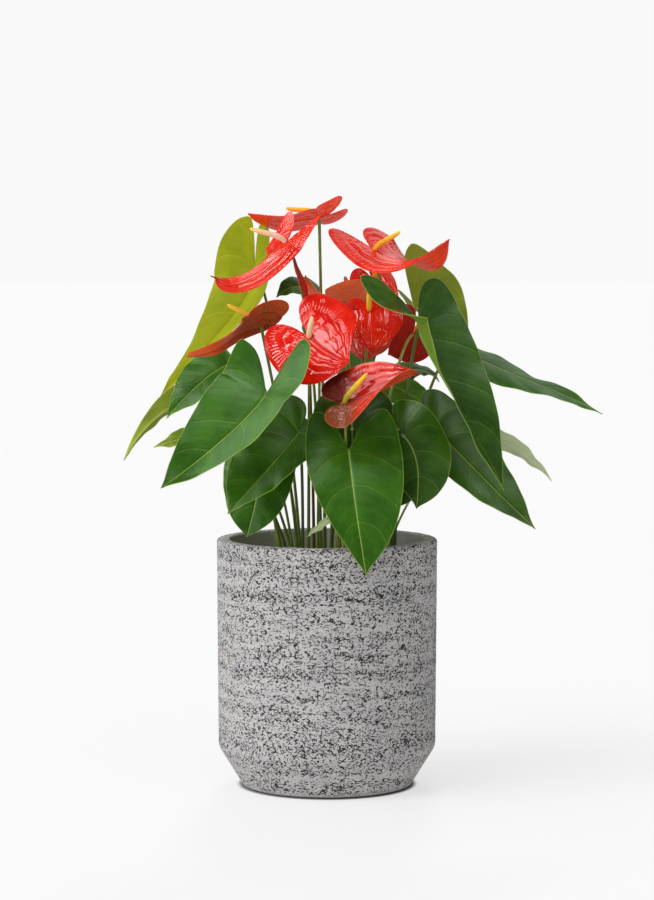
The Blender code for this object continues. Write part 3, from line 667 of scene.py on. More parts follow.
@dataclass(frozen=True)
class StalkFinish:
    """Green of a stalk, streaked along its run, with another tone towards the foot."""

    name: str
    slot: str
    tone: Colour
    foot: Colour
    foot_span: Pair = (0.08, 0.42)
    foot_share: float = 0.8
    gloss: float = 0.38
    streak: Triple = (1.0, 1.0, 0.22)

    def make(self) -> bpy.types.Material:
        """Builds the material.

        Returns:
            The stalk's material.
        """
        found, rig, bsdf = surface(self.name)
        place = rig.stretch(rig.coordinates(), self.streak)
        mottle = rig.group(EFFECTS.mottle, place=place, patch=160.0, grain=900.0, share=0.4)
        ground = rig.mix(rig.step(mottle.outputs["Value"], 0.35, 0.65), scaled(self.tone, 0.7), self.tone)
        foot = rig.step(rig.attribute("along"), *self.foot_span, self.foot_share, 0.0)
        rig.put(bsdf.inputs["Base Color"], rig.mix(foot, ground, self.foot))
        rig.put(bsdf.inputs["Roughness"], grainy(rig, mottle, self.gloss - 0.05, self.gloss + 0.1))
        raise_normal(rig, bsdf.inputs["Normal"], mottle.outputs["Value"], 0.35, 0.0003)
        return found


@dataclass(frozen=True)
class SpadixFinish:
    """Matt spadix whose tone changes from its foot's to its tip's round `turn`, a share of its run."""

    name: str
    slot: str
    foot: Colour
    tip: Colour
    turn: float = 0.6
    blend: float = 0.3

    def make(self) -> bpy.types.Material:
        """Builds the material.

        Returns:
            The spadix's material.
        """
        found, rig, bsdf = surface(self.name)
        mottle = rig.group(EFFECTS.mottle, place=rig.coordinates(), patch=300.0, grain=1400.0, share=0.5)
        change = rig.step(rig.attribute("along"), self.turn - self.blend, self.turn + self.blend)
        ground = rig.mix(change, self.foot, self.tip)
        shade = rig.step(mottle.outputs["Value"], 0.40, 0.62, 0.22, 0.0)
        rig.put(bsdf.inputs["Base Color"], rig.mix(shade, ground, scaled(self.foot, 0.6)))
        rig.put(bsdf.inputs["Roughness"], grainy(rig, mottle, 0.45, 0.62))
        raise_normal(rig, bsdf.inputs["Normal"], mottle.outputs["Fine"], 0.3, 0.0002)
        return found


@dataclass(frozen=True)
class CementFinish:
    """Pale grey cement with level streaks of dark pits and a plain rim, foot and inside; the inside is painted paler,
    painted light against the shade of the leaves; heights in metres.
    """

    name: str = "pitted_cement"
    slot: str = "cement"
    cool: Colour = (0.445, 0.438, 0.450)
    warm: Colour = (0.515, 0.492, 0.466)
    pit: Colour = (0.010, 0.009, 0.011)
    # inside: a paler grey for the inner wall, painted light where the leaves cast shade
    inside: Colour = (0.560, 0.550, 0.545)
    rim: Colour = (0.520, 0.515, 0.510)
    rim_share: float = 0.75
    rim_low: float = 0.2665
    rim_fade: float = 0.003
    foot_high: float = 0.006
    foot_fade: float = 0.005
    patch: Triple = (1.0, 1.0, 1.7)

    def make(self) -> bpy.types.Material:
        """Builds the material.

        Returns:
            The planter's material.
        """
        found, rig, bsdf = surface(self.name)
        place = rig.coordinates()
        outside = rig.attribute("outside")
        height = rig.lay("ShaderNodeSeparateXYZ", {"Vector": place}).outputs[2]
        patches = rig.stretch(place, self.patch)
        mottle = rig.group(EFFECTS.mottle, place=patches, patch=26.0, grain=520.0, share=0.45)
        ground = rig.mix(rig.step(mottle.outputs["Value"], 0.34, 0.68), self.cool, self.warm)
        large, small = (
            rig.group(EFFECTS.pits, place=place, **sizes).outputs["Pit"]
            for sizes in (
                dict(pit_scale=225.0, flatness=1.5, streak_scale=24.0, level=0.480, gather=1.0),
                dict(pit_scale=420.0, flatness=1.3, streak_scale=40.0, level=0.545, gather=0.7),
            )
        )
        rim = rig.step(height, self.rim_low, self.rim_low + self.rim_fade)
        # Painted light: the inner wall takes the paler inside tone in place of the shade that the leaves cast.
        ground = rig.mix(rig.minus(1.0, outside), ground, self.inside)
        ground = rig.mix(rim, ground, self.rim)
        wall = rig.times(rig.step(height, self.foot_high - self.foot_fade, self.foot_high), outside)
        keep = rig.larger(wall, rig.times(rim, self.rim_share))
        speck = rig.times(small, rig.plus(rig.times(keep, 0.70), 0.16))
        both = rig.larger(rig.times(large, keep), speck)
        depth = rig.mix(mottle.outputs["Fine"], self.pit, scaled(self.pit, 1.8))
        rig.put(bsdf.inputs["Base Color"], rig.mix(rig.times(both, 0.97), ground, depth))
        rig.put(bsdf.inputs["Roughness"], grainy(rig, mottle, 0.78, 0.95))
        bsdf.inputs["Specular IOR Level"].default_value = 0.3
        relief = rig.minus(rig.times(mottle.outputs["Value"], 0.6), both)
        raise_normal(rig, bsdf.inputs["Normal"], relief, 0.55, 0.0007)
        return found


@dataclass(frozen=True)
class SoilFinish:
    """Dark, crumbly potting mix with paler bits of bark and fibre."""

    name: str = "dark_potting_mix"
    slot: str = "potting_mix"
    dark: Colour = (0.012, 0.009, 0.007)
    brown: Colour = (0.060, 0.038, 0.022)
    fibre: Colour = (0.170, 0.115, 0.065)
    fibre_run: Triple = (1.0, 0.3, 1.0)

    def make(self) -> bpy.types.Material:
        """Builds the material.

        Returns:
            The potting mix's material.
        """
        found, rig, bsdf = surface(self.name)
        place = rig.coordinates()
        mottle = rig.group(EFFECTS.mottle, place=place, patch=150.0, grain=620.0, share=0.5)
        ground = rig.mix(rig.step(mottle.outputs["Value"], 0.36, 0.66), self.dark, self.brown)
        bits = rig.noise(rig.stretch(place, self.fibre_run), 900.0, 1.0, 0.5)
        rig.put(bsdf.inputs["Base Color"], rig.mix(rig.step(bits, 0.66, 0.72), ground, self.fibre))
        rig.put(bsdf.inputs["Roughness"], grainy(rig, mottle, 0.85, 1.0))
        raise_normal(rig, bsdf.inputs["Normal"], mottle.outputs["Value"], 0.8, 0.0015)
        return found


class LeafLook(Enum):
    """The leaf finishes by name."""

    GREEN = LeafFinish(
        "satin_green", "leaf_green", deep=(0.016, 0.072, 0.0015), fresh=(0.034, 0.126, 0.003),
        vein=(0.30, 0.42, 0.06), under=(0.13, 0.24, 0.05), vein_share=0.10)
    DARK = LeafFinish(
        "deep_green", "leaf_dark", deep=(0.016, 0.056, 0.003), fresh=(0.034, 0.100, 0.005),
        vein=(0.28, 0.38, 0.07), under=(0.20, 0.36, 0.03), vein_share=0.10)
    BRIGHT = LeafFinish(
        "fresh_green", "leaf_bright", deep=(0.060, 0.190, 0.012), fresh=(0.120, 0.300, 0.025),
        vein=(0.40, 0.50, 0.12), under=(0.20, 0.32, 0.10))
    LIME = LeafFinish(
        "lime_green", "leaf_lime", deep=(0.200, 0.235, 0.002), fresh=(0.275, 0.305, 0.004),
        vein=(0.44, 0.44, 0.02), under=(0.40, 0.42, 0.08), vein_share=0.25, gloss=0.5, shine=0.12)
    # The underside, which faces the front, is paler partly by its own colour and partly by painted light that lifts its
    # shade.
    OLIVE = LeafFinish(
        "olive_green", "leaf_olive", deep=(0.110, 0.190, 0.014), fresh=(0.200, 0.270, 0.024),
        vein=(0.45, 0.48, 0.12), under=(0.250, 0.330, 0.026), gloss=0.42)
    PALE = LeafFinish(
        "pale_green", "leaf_pale", deep=(0.38, 0.48, 0.20), fresh=(0.52, 0.60, 0.32),
        vein=(0.62, 0.66, 0.38), under=(0.52, 0.60, 0.36), gloss=0.5)


class BloomLook(Enum):
    """The spathe finishes by name."""

    CENTRE = SpatheFinish(
        "glossy_red", "spathe_red", deep=(0.62, 0.006, 0.002), bright=(0.86, 0.020, 0.007),
        under=(0.45, 0.02, 0.008), tip_share=0.6)
    INNER = SpatheFinish(
        "warm_red", "spathe_red", deep=(0.74, 0.010, 0.003), bright=(0.95, 0.030, 0.010), under=(0.50, 0.03, 0.012))
    # The back is a brighter red than the upper side: partly its own paler back, partly painted light that stands in for
    # light bounced up from the floor.
    CORAL = SpatheFinish(
        "coral_red", "spathe_coral", deep=(0.70, 0.016, 0.005), bright=(0.90, 0.040, 0.015), under=(1.0, 0.070, 0.020))
    # Its own orange, lifted brighter as painted light for a bloom that sits in shade behind others, the back the most.
    ORANGE = SpatheFinish(
        "orange_red", "spathe_coral", deep=(0.86, 0.110, 0.024), bright=(1.0, 0.180, 0.050),
        under=(1.0, 0.210, 0.060), line=(0.66, 0.07, 0.02))
    PINK = SpatheFinish(
        "pale_coral", "spathe_coral", deep=(0.62, 0.050, 0.030), bright=(0.82, 0.120, 0.075), under=(0.55, 0.06, 0.03))
    BROWN = SpatheFinish(
        "rusty_brown", "spathe_rust", deep=(0.105, 0.050, 0.004), bright=(0.205, 0.086, 0.008),
        under=(0.40, 0.070, 0.012), tip=(1.0, 0.150, 0.055), tip_share=1.0, tip_from=0.10,
        line=(0.06, 0.022, 0.004), line_share=0.6, rim=(0.55, 0.03, 0.012), rim_share=0.8,
        gloss=0.34, shine=0.2, coat=0.1)
    DARK = SpatheFinish(
        "dark_red", "spathe_rust", deep=(0.60, 0.012, 0.005), bright=(0.80, 0.026, 0.010),
        under=(0.50, 0.016, 0.006), gloss=0.26, shine=0.3, coat=0.1)
    # Brick red with its own brown near lobe; the maroon on the far lobe is painted shade.
    LOW = SpatheFinish(
        "brick_red", "spathe_red", deep=(0.46, 0.008, 0.003), bright=(0.72, 0.022, 0.008),
        under=(0.52, 0.055, 0.012), lobe=(0.20, 0.050, 0.014), far_lobe_painted_shade=(0.085, 0.006, 0.002),
        lobe_share=0.95, lobe_coat=(0.35, 0.0), line=(0.14, 0.035, 0.010), rim=(0.55, 0.16, 0.09),
        rim_share=0.6, shine=0.12, coat=0.9)


class StalkLook(Enum):
    """The stalk finishes by name."""

    GREEN = StalkFinish("stalk_green", "stalk_green", (0.200, 0.280, 0.030), (0.165, 0.250, 0.028))
    BRIGHT = StalkFinish("stalk_yellow_green", "stalk_green", (0.400, 0.480, 0.090), (0.330, 0.400, 0.080))
    DARK = StalkFinish("stalk_dark_green", "stalk_green", (0.080, 0.150, 0.022), (0.070, 0.120, 0.016))
    BROWN = StalkFinish("stalk_reddish_brown", "stalk_green", (0.240, 0.105, 0.032), (0.170, 0.080, 0.024))
    RED = StalkFinish(
        "stalk_dark_red", "stalk_green", (0.300, 0.030, 0.018), (0.200, 0.270, 0.030),
        foot_span=(0.79, 0.88), foot_share=1.0)


class SpadixLook(Enum):
    """The spadix finishes by name."""

    YELLOW = SpadixFinish("spadix_yellow", "spadix_yellow", (0.98, 0.52, 0.022), (1.0, 0.70, 0.055))
    GREENISH = SpadixFinish("spadix_yellow_green", "spadix_yellow", (0.50, 0.42, 0.016), (0.98, 0.70, 0.040), 0.45)
    CREAM = SpadixFinish("spadix_cream", "spadix_cream", (0.98, 0.66, 0.40), (1.0, 0.78, 0.50))
    RUST = SpadixFinish("spadix_rust", "spadix_yellow", (0.52, 0.15, 0.040), (0.66, 0.22, 0.060))
    PINK = SpadixFinish("spadix_pink_cream", "spadix_cream", (0.98, 0.62, 0.46), (1.0, 0.76, 0.16), 0.8)


MADE: dict[str, bpy.types.Material] = {}


def finish_of(look: Enum) -> bpy.types.Material:
    """The material of a finish, built the first time it is asked for."""
    finish = look.value
    if finish.name not in MADE:
        MADE[finish.name] = finish.make()
    return MADE[finish.name]


@dataclass(frozen=True)
class BladeForm:
    """Shape of one leaf blade or spathe with its stalk; lengths in millimetres, angles in degrees.

    The midrib runs from the joint through the four points of `spine`, and `face` is the way the
    upper side looks at the joint. A pair holds one value for each half: first the half on the left
    of someone who looks at the upper side with the tip down, then the other.
    """

    name: str
    spine: tuple[Triple, Triple, Triple, Triple]
    face: Triple
    half: Pair
    lobe: Pair
    root: Pair
    knee: Triple
    fold: Pair = (10, 10)
    tip_fold: Optional[Pair] = None
    lobe_fold: Optional[Pair] = None
    curl: Pair = (-20, -20)
    lift: Pair = (10, 10)
    twist: float = 0
    apex: Optional[Pair] = None
    full: Pair = (0.5, 0.5)
    wave: Triple = (0, 3, 0)
    spadix: Optional[Triple] = None
    spadix_length: float = 0

    def margin_runs(self, k: int) -> tuple:
        """The outline of one half in four Bezier runs, from the joint round the lobe to the tip.

        Args:
            k: which half.

        Returns:
            Runs of points, each (share of half width, share of length, share of lobe).
        """
        spathe = self.spadix is not None
        full = self.full[k]
        shoulder = self.apex[k] if self.apex else (SPATHE_SHOULDER if spathe else LEAF_SHOULDER)
        spread = min(max((shoulder - LEAF_SHOULDER) / 0.5, 0), 1)
        sinus = (
            (0, 0, 0),
            (shoulder * (0.065 + 0.30 * spread), 0, -0.30),
            (shoulder * (0.22 + 0.40 * spread), 0, -1),
            (shoulder, 0, -1),
        )
        over = shoulder + 0.62 * (1 - shoulder)
        if spathe:
            lobe = (sinus[3], (over, 0, -1), (1.02, 0, -0.30), (1, 0.16, 0))
            side = (
                lobe[3],
                (0.97, 0.50 + 0.12 * full, 0),
                (0.36 + 0.20 * full, 0.74 + 0.08 * full, 0),
                (0.12, 0.93, 0),
            )
            tip = (side[3], (0.06, 0.96, 0), (0.03, 0.98, 0), (0, 1, 0))
        else:
            lobe = (sinus[3], (over, 0, -1), (1, 0, -0.45), (1, 0.06, 0))
            x = 0.15 - 0.02 * full
            y = 0.88 + 0.05 * full
            side = (
                lobe[3],
                (1, 0.33 + 0.16 * full, 0),
                (0.42 + 0.26 * full, 0.66 + 0.09 * full, 0),
                (x, y, 0),
            )
            tip = (side[3], (0.55 * x, y + 0.35 * (1 - y), 0), (0.02, 0.97, 0), (0, 1, 0))
        return sinus, lobe, side, tip


class Sheet:
    """The bent surface of a blade: a midrib in space and two halves that fold, curl and lift."""

    def __init__(self, form: BladeForm) -> None:
        """Carries the blade's own directions along its midrib."""
        self.form = form
        path = cubic_through(form.spine, np.linspace(0, 1, SPINE_SAMPLES))
        run = np.r_[0, np.cumsum(np.linalg.norm(np.diff(path, axis=0), axis=1))]
        self.length = run[-1]
        self.along = np.linspace(0, self.length, SPINE_SAMPLES)
        self.centre = np.stack([np.interp(self.along, run, path[:, i]) for i in range(3)], axis=1)
        self.tangent = np.gradient(self.centre, axis=0)
        self.tangent /= np.linalg.norm(self.tangent, axis=1)[:, None]
        up = np.zeros_like(self.tangent)
        carried = np.asarray(form.face, float)
        for i, tangent in enumerate(self.tangent):
            carried = unit(carried - tangent * (carried @ tangent))
            up[i] = carried
        across = np.cross(self.tangent, up)
        turn = np.radians(form.twist) * (self.along / self.length) ** TWIST_EASE
        self.up = up * np.cos(turn)[:, None] + across * np.sin(turn)[:, None]
        self.across = np.cross(self.tangent, self.up)

    def margin(self, rays: int, k: int) -> tuple[np.ndarray, np.ndarray]:
        """Where each side vein ends and starts on the flat half.

        Args:
            rays: how many side lines.
            k: which half.

        Returns:
            The ends on the margin, and the feet along the midrib.
        """
        form = self.form
        scale = np.array([[form.half[k], 0], [0, self.length], [0, form.lobe[k]]])
        runs = [np.array(run, float) @ scale for run in form.margin_runs(k)]
        shares = np.linspace(0, 1, MARGIN_SAMPLES)
        line = np.vstack([bezier(run, shares)[(i > 0):] for i, run in enumerate(runs)])
        run = np.r_[0, np.cumsum(np.hypot(*np.diff(line, axis=0).T))]
        start = run[FIRST_RAY_SAMPLE]
        stops = start + (run[-1] - start) * np.linspace(0, 1, rays)
        ends = np.stack([np.interp(stops, run, line[:, i]) for i in range(2)], axis=1)
        share = np.clip((ends[:, 1] / self.length - 0.02) / 0.98, 0, 1)
        feet = np.minimum(self.length * share**FEET_EASE, ends[:, 1].clip(0))
        ends[-1] = (0, self.length)
        feet[-1] = self.length
        return ends, feet

    def bend(self, x: np.ndarray, y: np.ndarray, ray: np.ndarray, reach: np.ndarray, k: int) -> np.ndarray:
        """Places flat points of one half in space.

        Args:
            x: distance from the midrib.
            y: distance along it.
            ray: which side line, 0 to 1.
            reach: share of the way to the margin.
            k: which half.

        Returns:
            Points in millimetres.
        """
        form = self.form
        side = 1 if k == 0 else -1
        lobe = form.lobe[k]
        at = np.clip(y, 0, self.length)
        centre, tangent, across, up = [
            np.stack([np.interp(at, self.along, values[:, i]) for i in range(3)], axis=1)
            for values in (self.centre, self.tangent, self.across, self.up)
        ]
        back = np.clip(-y, 0, None)
        bow = math.radians(max(form.lift[k], LEAST_BEND)) / lobe
        centre = centre - self.tangent[0] * (np.sin(bow * back) / bow)[:, None]
        centre = centre + self.up[0] * ((1 - np.cos(bow * back)) / bow)[:, None]
        up = up * np.cos(bow * back)[:, None] + tangent * np.sin(bow * back)[:, None]
        fold = math.radians(form.fold[k])
        tip_fold = math.radians((form.tip_fold or form.fold)[k])
        lobe_fold = math.radians((form.lobe_fold or form.fold)[k])
        angle = fold + (tip_fold - fold) * at / self.length
        angle = angle + (lobe_fold - fold) * np.clip(back / lobe, 0, 1) ** LOBE_EASE
        curl = math.radians(min(form.curl[k], -LEAST_BEND)) / form.half[k]
        out = (np.sin(angle + curl * x) - np.sin(angle)) / curl
        rise = (np.cos(angle) - np.cos(angle + curl * x)) / curl
        height, count, phase = form.wave
        swing = np.sin(2 * math.pi * (count * ray + phase + WAVE_SHIFT * (k == 0)))
        rise = rise + height * swing * reach**2 * np.sqrt(np.clip(np.sin(math.pi * ray), 0, 1))
        return centre + across * (side * out)[:, None] + up * rise[:, None]

    def joint(self) -> tuple[np.ndarray, np.ndarray]:
        """The joint's place in metres and the way its upper side looks."""
        return self.centre[0] * MM, self.up[0]


@dataclass(frozen=True)
class Relief:
    """Raised and sunken lines of a blade, in millimetres: side veins, round veins, ripples, midrib and flutter."""

    veins: float = 8.0
    bow: float = 0.55
    depth: float = 0.30
    vein_width: float = 0.13
    rays: int = 60
    steps: int = 18
    quilt: float = 0.0
    rings: float = 4.5
    loops: tuple[float, ...] = ()
    loop_depth: float = 0.0
    loop_width: float = 0.045
    flutter: float = 0.0
    midrib: float = 0.35
    midrib_width: float = 1.1
    keel: float = 0.9
    keel_width: float = 1.3

    def height(self, ray: np.ndarray, reach: np.ndarray, rib: np.ndarray, phase: float) -> np.ndarray:
        """Height of the upper side over the plain sheet.

        Args:
            ray: which side line, 0 to 1.
            reach: share of the way to the margin.
            rib: distance from the midrib in millimetres.
            phase: where the margin's flutter starts, the blade's own.

        Returns:
            Heights in millimetres.
        """
        away = np.abs((ray * self.veins - self.bow * reach**2 + 8.0) % 1.0 - 0.5)
        span = smooth(reach, 0.02, 0.2) * (1 - smooth(reach, 0.86, 1.0))
        high = -self.depth * np.exp(-((away / self.vein_width) ** 2)) * span
        for at in self.loops:
            sway = 0.02 * np.cos(2 * math.pi * self.veins * ray)
            high = high - self.loop_depth * np.exp(-(((reach - at - sway) / self.loop_width) ** 2))
        if self.flutter:
            sway = np.sin(2 * math.pi * (3.4 * ray + phase)) + 0.5 * np.sin(2 * math.pi * (7.3 * ray + 2 * phase))
            high = high + self.flutter * sway * reach**2 * smooth(ray, 0.0, 0.2) * (1 - smooth(ray, 0.85, 1.0))
        if self.quilt:
            swell = 0.6 * np.sin(2 * math.pi * self.veins * ray)
            high = high + self.quilt * np.cos(2 * math.pi * self.rings * reach + swell) * span
        return high - self.midrib * np.exp(-((rib / self.midrib_width) ** 2))

    def keel_height(self, rib: np.ndarray, along: np.ndarray) -> np.ndarray:
        """How far the midrib stands out under the blade, in millimetres."""
        return self.keel * np.exp(-((rib / self.keel_width) ** 2)) * np.sqrt(np.clip(1 - along, 0, 1))


LEAF_RELIEF = Relief(veins=6.0, depth=0.34, flutter=1.2)
SPATHE_RELIEF = Relief(
    veins=7.0, bow=0.4, depth=0.2, rays=120, steps=34, quilt=0.20, rings=4.2, loops=(0.58,), loop_depth=0.5,
    midrib=0.6, keel=0.5,
)


def blade_mesh(sheet: Sheet, name: str, relief: Relief) -> bpy.types.Mesh:
    """A closed blade with veins in its surface and a margin thinner than its middle.

    Args:
        sheet: the bent surface.
        name: the mesh's name.
        relief: the veins.

    Returns:
        The mesh, which keeps ray, reach, rib, edge, along, side and under for its finish.
    """
    rays, steps = relief.rays, relief.steps
    margins = [sheet.margin(rays, k) for k in (0, 1)]
    feet = (margins[0][1] + margins[1][1]) / 2
    even = np.linspace(0, 1, steps + 1)
    reach_line = even - STEP_EASE * np.sin(2 * math.pi * even) / (2 * math.pi)
    points, kept, faces = [], [], []
    spine = {}
    for i, foot in enumerate(feet):
        key = round(float(foot), 3)
        if key not in spine:
            spine[key] = len(points)
            points.append(sheet.bend(np.zeros(1), np.array([foot]), np.zeros(1), np.zeros(1), 0)[0])
            kept.append((i / (rays - 1), 0.0, 0.0, 99.0, foot / sheet.length, 0.5))
    for k in (0, 1):
        ends = margins[k][0]
        rows = []
        for i in range(rays):
            start = spine[round(float(feet[i]), 3)]
            if i == rays - 1:
                rows.append([start] * (steps + 1))
                continue
            reach = reach_line[1:]
            x = ends[i, 0] * reach
            y = feet[i] + (ends[i, 1] - feet[i]) * reach
            ray = np.full(steps, i / (rays - 1))
            rows.append([start] + list(range(len(points), len(points) + steps)))
            points.extend(sheet.bend(x, y, ray, reach, k))
            long = math.hypot(ends[i, 0], ends[i, 1] - feet[i])
            kept.extend(zip(ray, reach, x, (1 - reach) * long, y / sheet.length, np.full(steps, float(k))))
        for first, second in zip(rows, rows[1:]):
            for j in range(steps):
                corners = list(dict.fromkeys((first[j], first[j + 1], second[j + 1], second[j])))
                if len(corners) > 2:
                    faces.append(corners if k == 0 else corners[::-1])
    points, kept = np.array(points), np.array(kept)
    normals = np.zeros_like(points)
    for face in faces:
        a, b, c = points[face[0]], points[face[1]], points[face[2]]
        normals[face] += np.cross(b - a, c - a)
    normals /= np.linalg.norm(normals, axis=1)[:, None] + 1e-12
    ray, reach, rib, edge, along, _ = kept.T
    thick = EDGE_THICKNESS + (BLADE_THICKNESS - EDGE_THICKNESS) * smooth(edge, 0, EDGE_TAPER)
    high = relief.height(ray, reach, rib, FLUTTER_STEP * sheet.form.root[0])
    upper = points + normals * (thick / 2 + high)[:, None]
    lower = points - normals * (thick / 2 - high + relief.keel_height(rib, along))[:, None]
    count = len(points)
    seen = dict.fromkeys(pair for face in faces for pair in zip(face, face[1:] + face[:1]))
    rims = [[b, a, a + count, b + count] for a, b in seen if (b, a) not in seen]
    below = [[v + count for v in face[::-1]] for face in faces]
    mesh = mesh_of(name, np.vstack([upper, lower]) * MM, faces + below + rims)
    for key, values in zip(("ray", "reach", "rib", "edge", "along", "side"), kept.T):
        store(mesh, key, np.r_[values, values])
    store(mesh, "under", np.r_[np.zeros(count), np.ones(count)])
    mesh.set_sharp_from_angle(angle=math.radians(SHARP_ANGLE))
    return mesh


def stalk_path(root: Pair, knee: Triple, joint: np.ndarray, normal: np.ndarray, stop: float) -> np.ndarray:
    """A stalk's axis: upright in its hole, one smooth rise, then square to the blade it carries.

    Args:
        root: where it stands in the potting mix, in millimetres.
        knee: the point that it bends towards, in millimetres.
        joint: where it meets the blade, in metres.
        normal: the way the blade's upper side looks there.
        stop: how far past the joint it ends, in metres.

    Returns:
        Points in metres.
    """
    foot = np.array([root[0] * MM, root[1] * MM, SOIL_TOP - HOLE_DEPTH])
    neck = np.array([foot[0], foot[1], SOIL_TOP + 2 * SOIL_UNEVEN])
    bend = np.asarray(knee, float) * MM
    square = joint - normal * SQUARE_END
    aside = STALK_LEAN * (bend - neck)
    lean = np.array([aside[0], aside[1], STALK_RISE * (joint[2] - neck[2])])
    rise = bezier((neck, neck + lean, bend, square), np.linspace(0, 1, STALK_POINTS))
    return np.vstack([foot, rise, joint + normal * stop])


def line_mesh(name: str, path: np.ndarray) -> bpy.types.Mesh:
    """An open line of edges that keeps each point's share of the run as `along`."""
    mesh = bpy.data.meshes.new(name)
    mesh.from_pydata([tuple(point) for point in path], [(i, i + 1) for i in range(len(path) - 1)], [])
    run = np.r_[0, np.cumsum(np.linalg.norm(np.diff(path, axis=0), axis=1))]
    store(mesh, "along", run / run[-1])
    return mesh


def shape_tree(name: str, sizes: dict[str, Union[int, float]]) -> tuple:
    """Starts a geometry tree with named sizes and a material input.

    Args:
        name: the tree's name.
        sizes: input names with their defaults.

    Returns:
        The tree, its rig, what its inputs give and what its outputs take.
    """
    tree = bpy.data.node_groups.new(name, "GeometryNodeTree")
    tree.interface.new_socket("Geometry", in_out="INPUT", socket_type="NodeSocketGeometry")
    for key, value in sizes.items():
        kind = "NodeSocketInt" if isinstance(value, int) else "NodeSocketFloat"
        tree.interface.new_socket(key, in_out="INPUT", socket_type=kind).default_value = value
    tree.interface.new_socket("Finish", in_out="INPUT", socket_type="NodeSocketMaterial")
    tree.interface.new_socket("Geometry", in_out="OUTPUT", socket_type="NodeSocketGeometry")
    rig = Rig(tree)
    return tree, rig, rig.add("NodeGroupInput").outputs, rig.add("NodeGroupOutput").inputs


def close_tree(rig: Rig, shape: Socket, finish: Socket, out: Socket) -> None:
    """Ends a geometry tree: smooth shading, real geometry for every copy, and the material."""
    shade = rig.lay("GeometryNodeSetShadeSmooth", {"Geometry": shape})
    real = rig.lay("GeometryNodeRealizeInstances", {"Geometry": shade.outputs[0]})
    dress = rig.lay("GeometryNodeSetMaterial", {"Geometry": real.outputs[0], "Material": finish})
    rig.put(out, dress.outputs[0])


def join(rig: Rig, first: Socket, second: Socket) -> Socket:
    """Two shapes as one."""
    both = rig.lay("GeometryNodeJoinGeometry", {"Geometry": first})
    rig.put(both.inputs["Geometry"], second)
    return both.outputs[0]


def grow(name: str, host_mesh: bpy.types.Mesh, tree: bpy.types.NodeTree, **values: object) -> bpy.types.Mesh:
    """Runs a geometry tree on a host mesh and keeps the result as a plain mesh.

    Args:
        name: the result's name.
        host_mesh: what the tree starts from.
        tree: the geometry tree.
        values: an input's name with _ for each space, and its value.

    Returns:
        The plain mesh.
    """
    host = bpy.data.objects.new(name + "_host", host_mesh)
    bpy.context.collection.objects.link(host)
    shape = host.modifiers.new("Shape", "NODES")
    shape.node_group = tree
    wanted = {key.replace("_", " ").title(): value for key, value in values.items()}
    for item in tree.interface.items_tree:
        if item.item_type == "SOCKET" and item.in_out == "INPUT" and item.name in wanted:
            shape[item.identifier] = wanted[item.name]
    graph = bpy.context.evaluated_depsgraph_get()
    mesh = bpy.data.meshes.new_from_object(host.evaluated_get(graph), preserve_all_data_layers=True, depsgraph=graph)
    mesh.name = name
    host.modifiers.clear()
    bpy.data.objects.remove(host)
    bpy.data.meshes.remove(host_mesh)
    return mesh


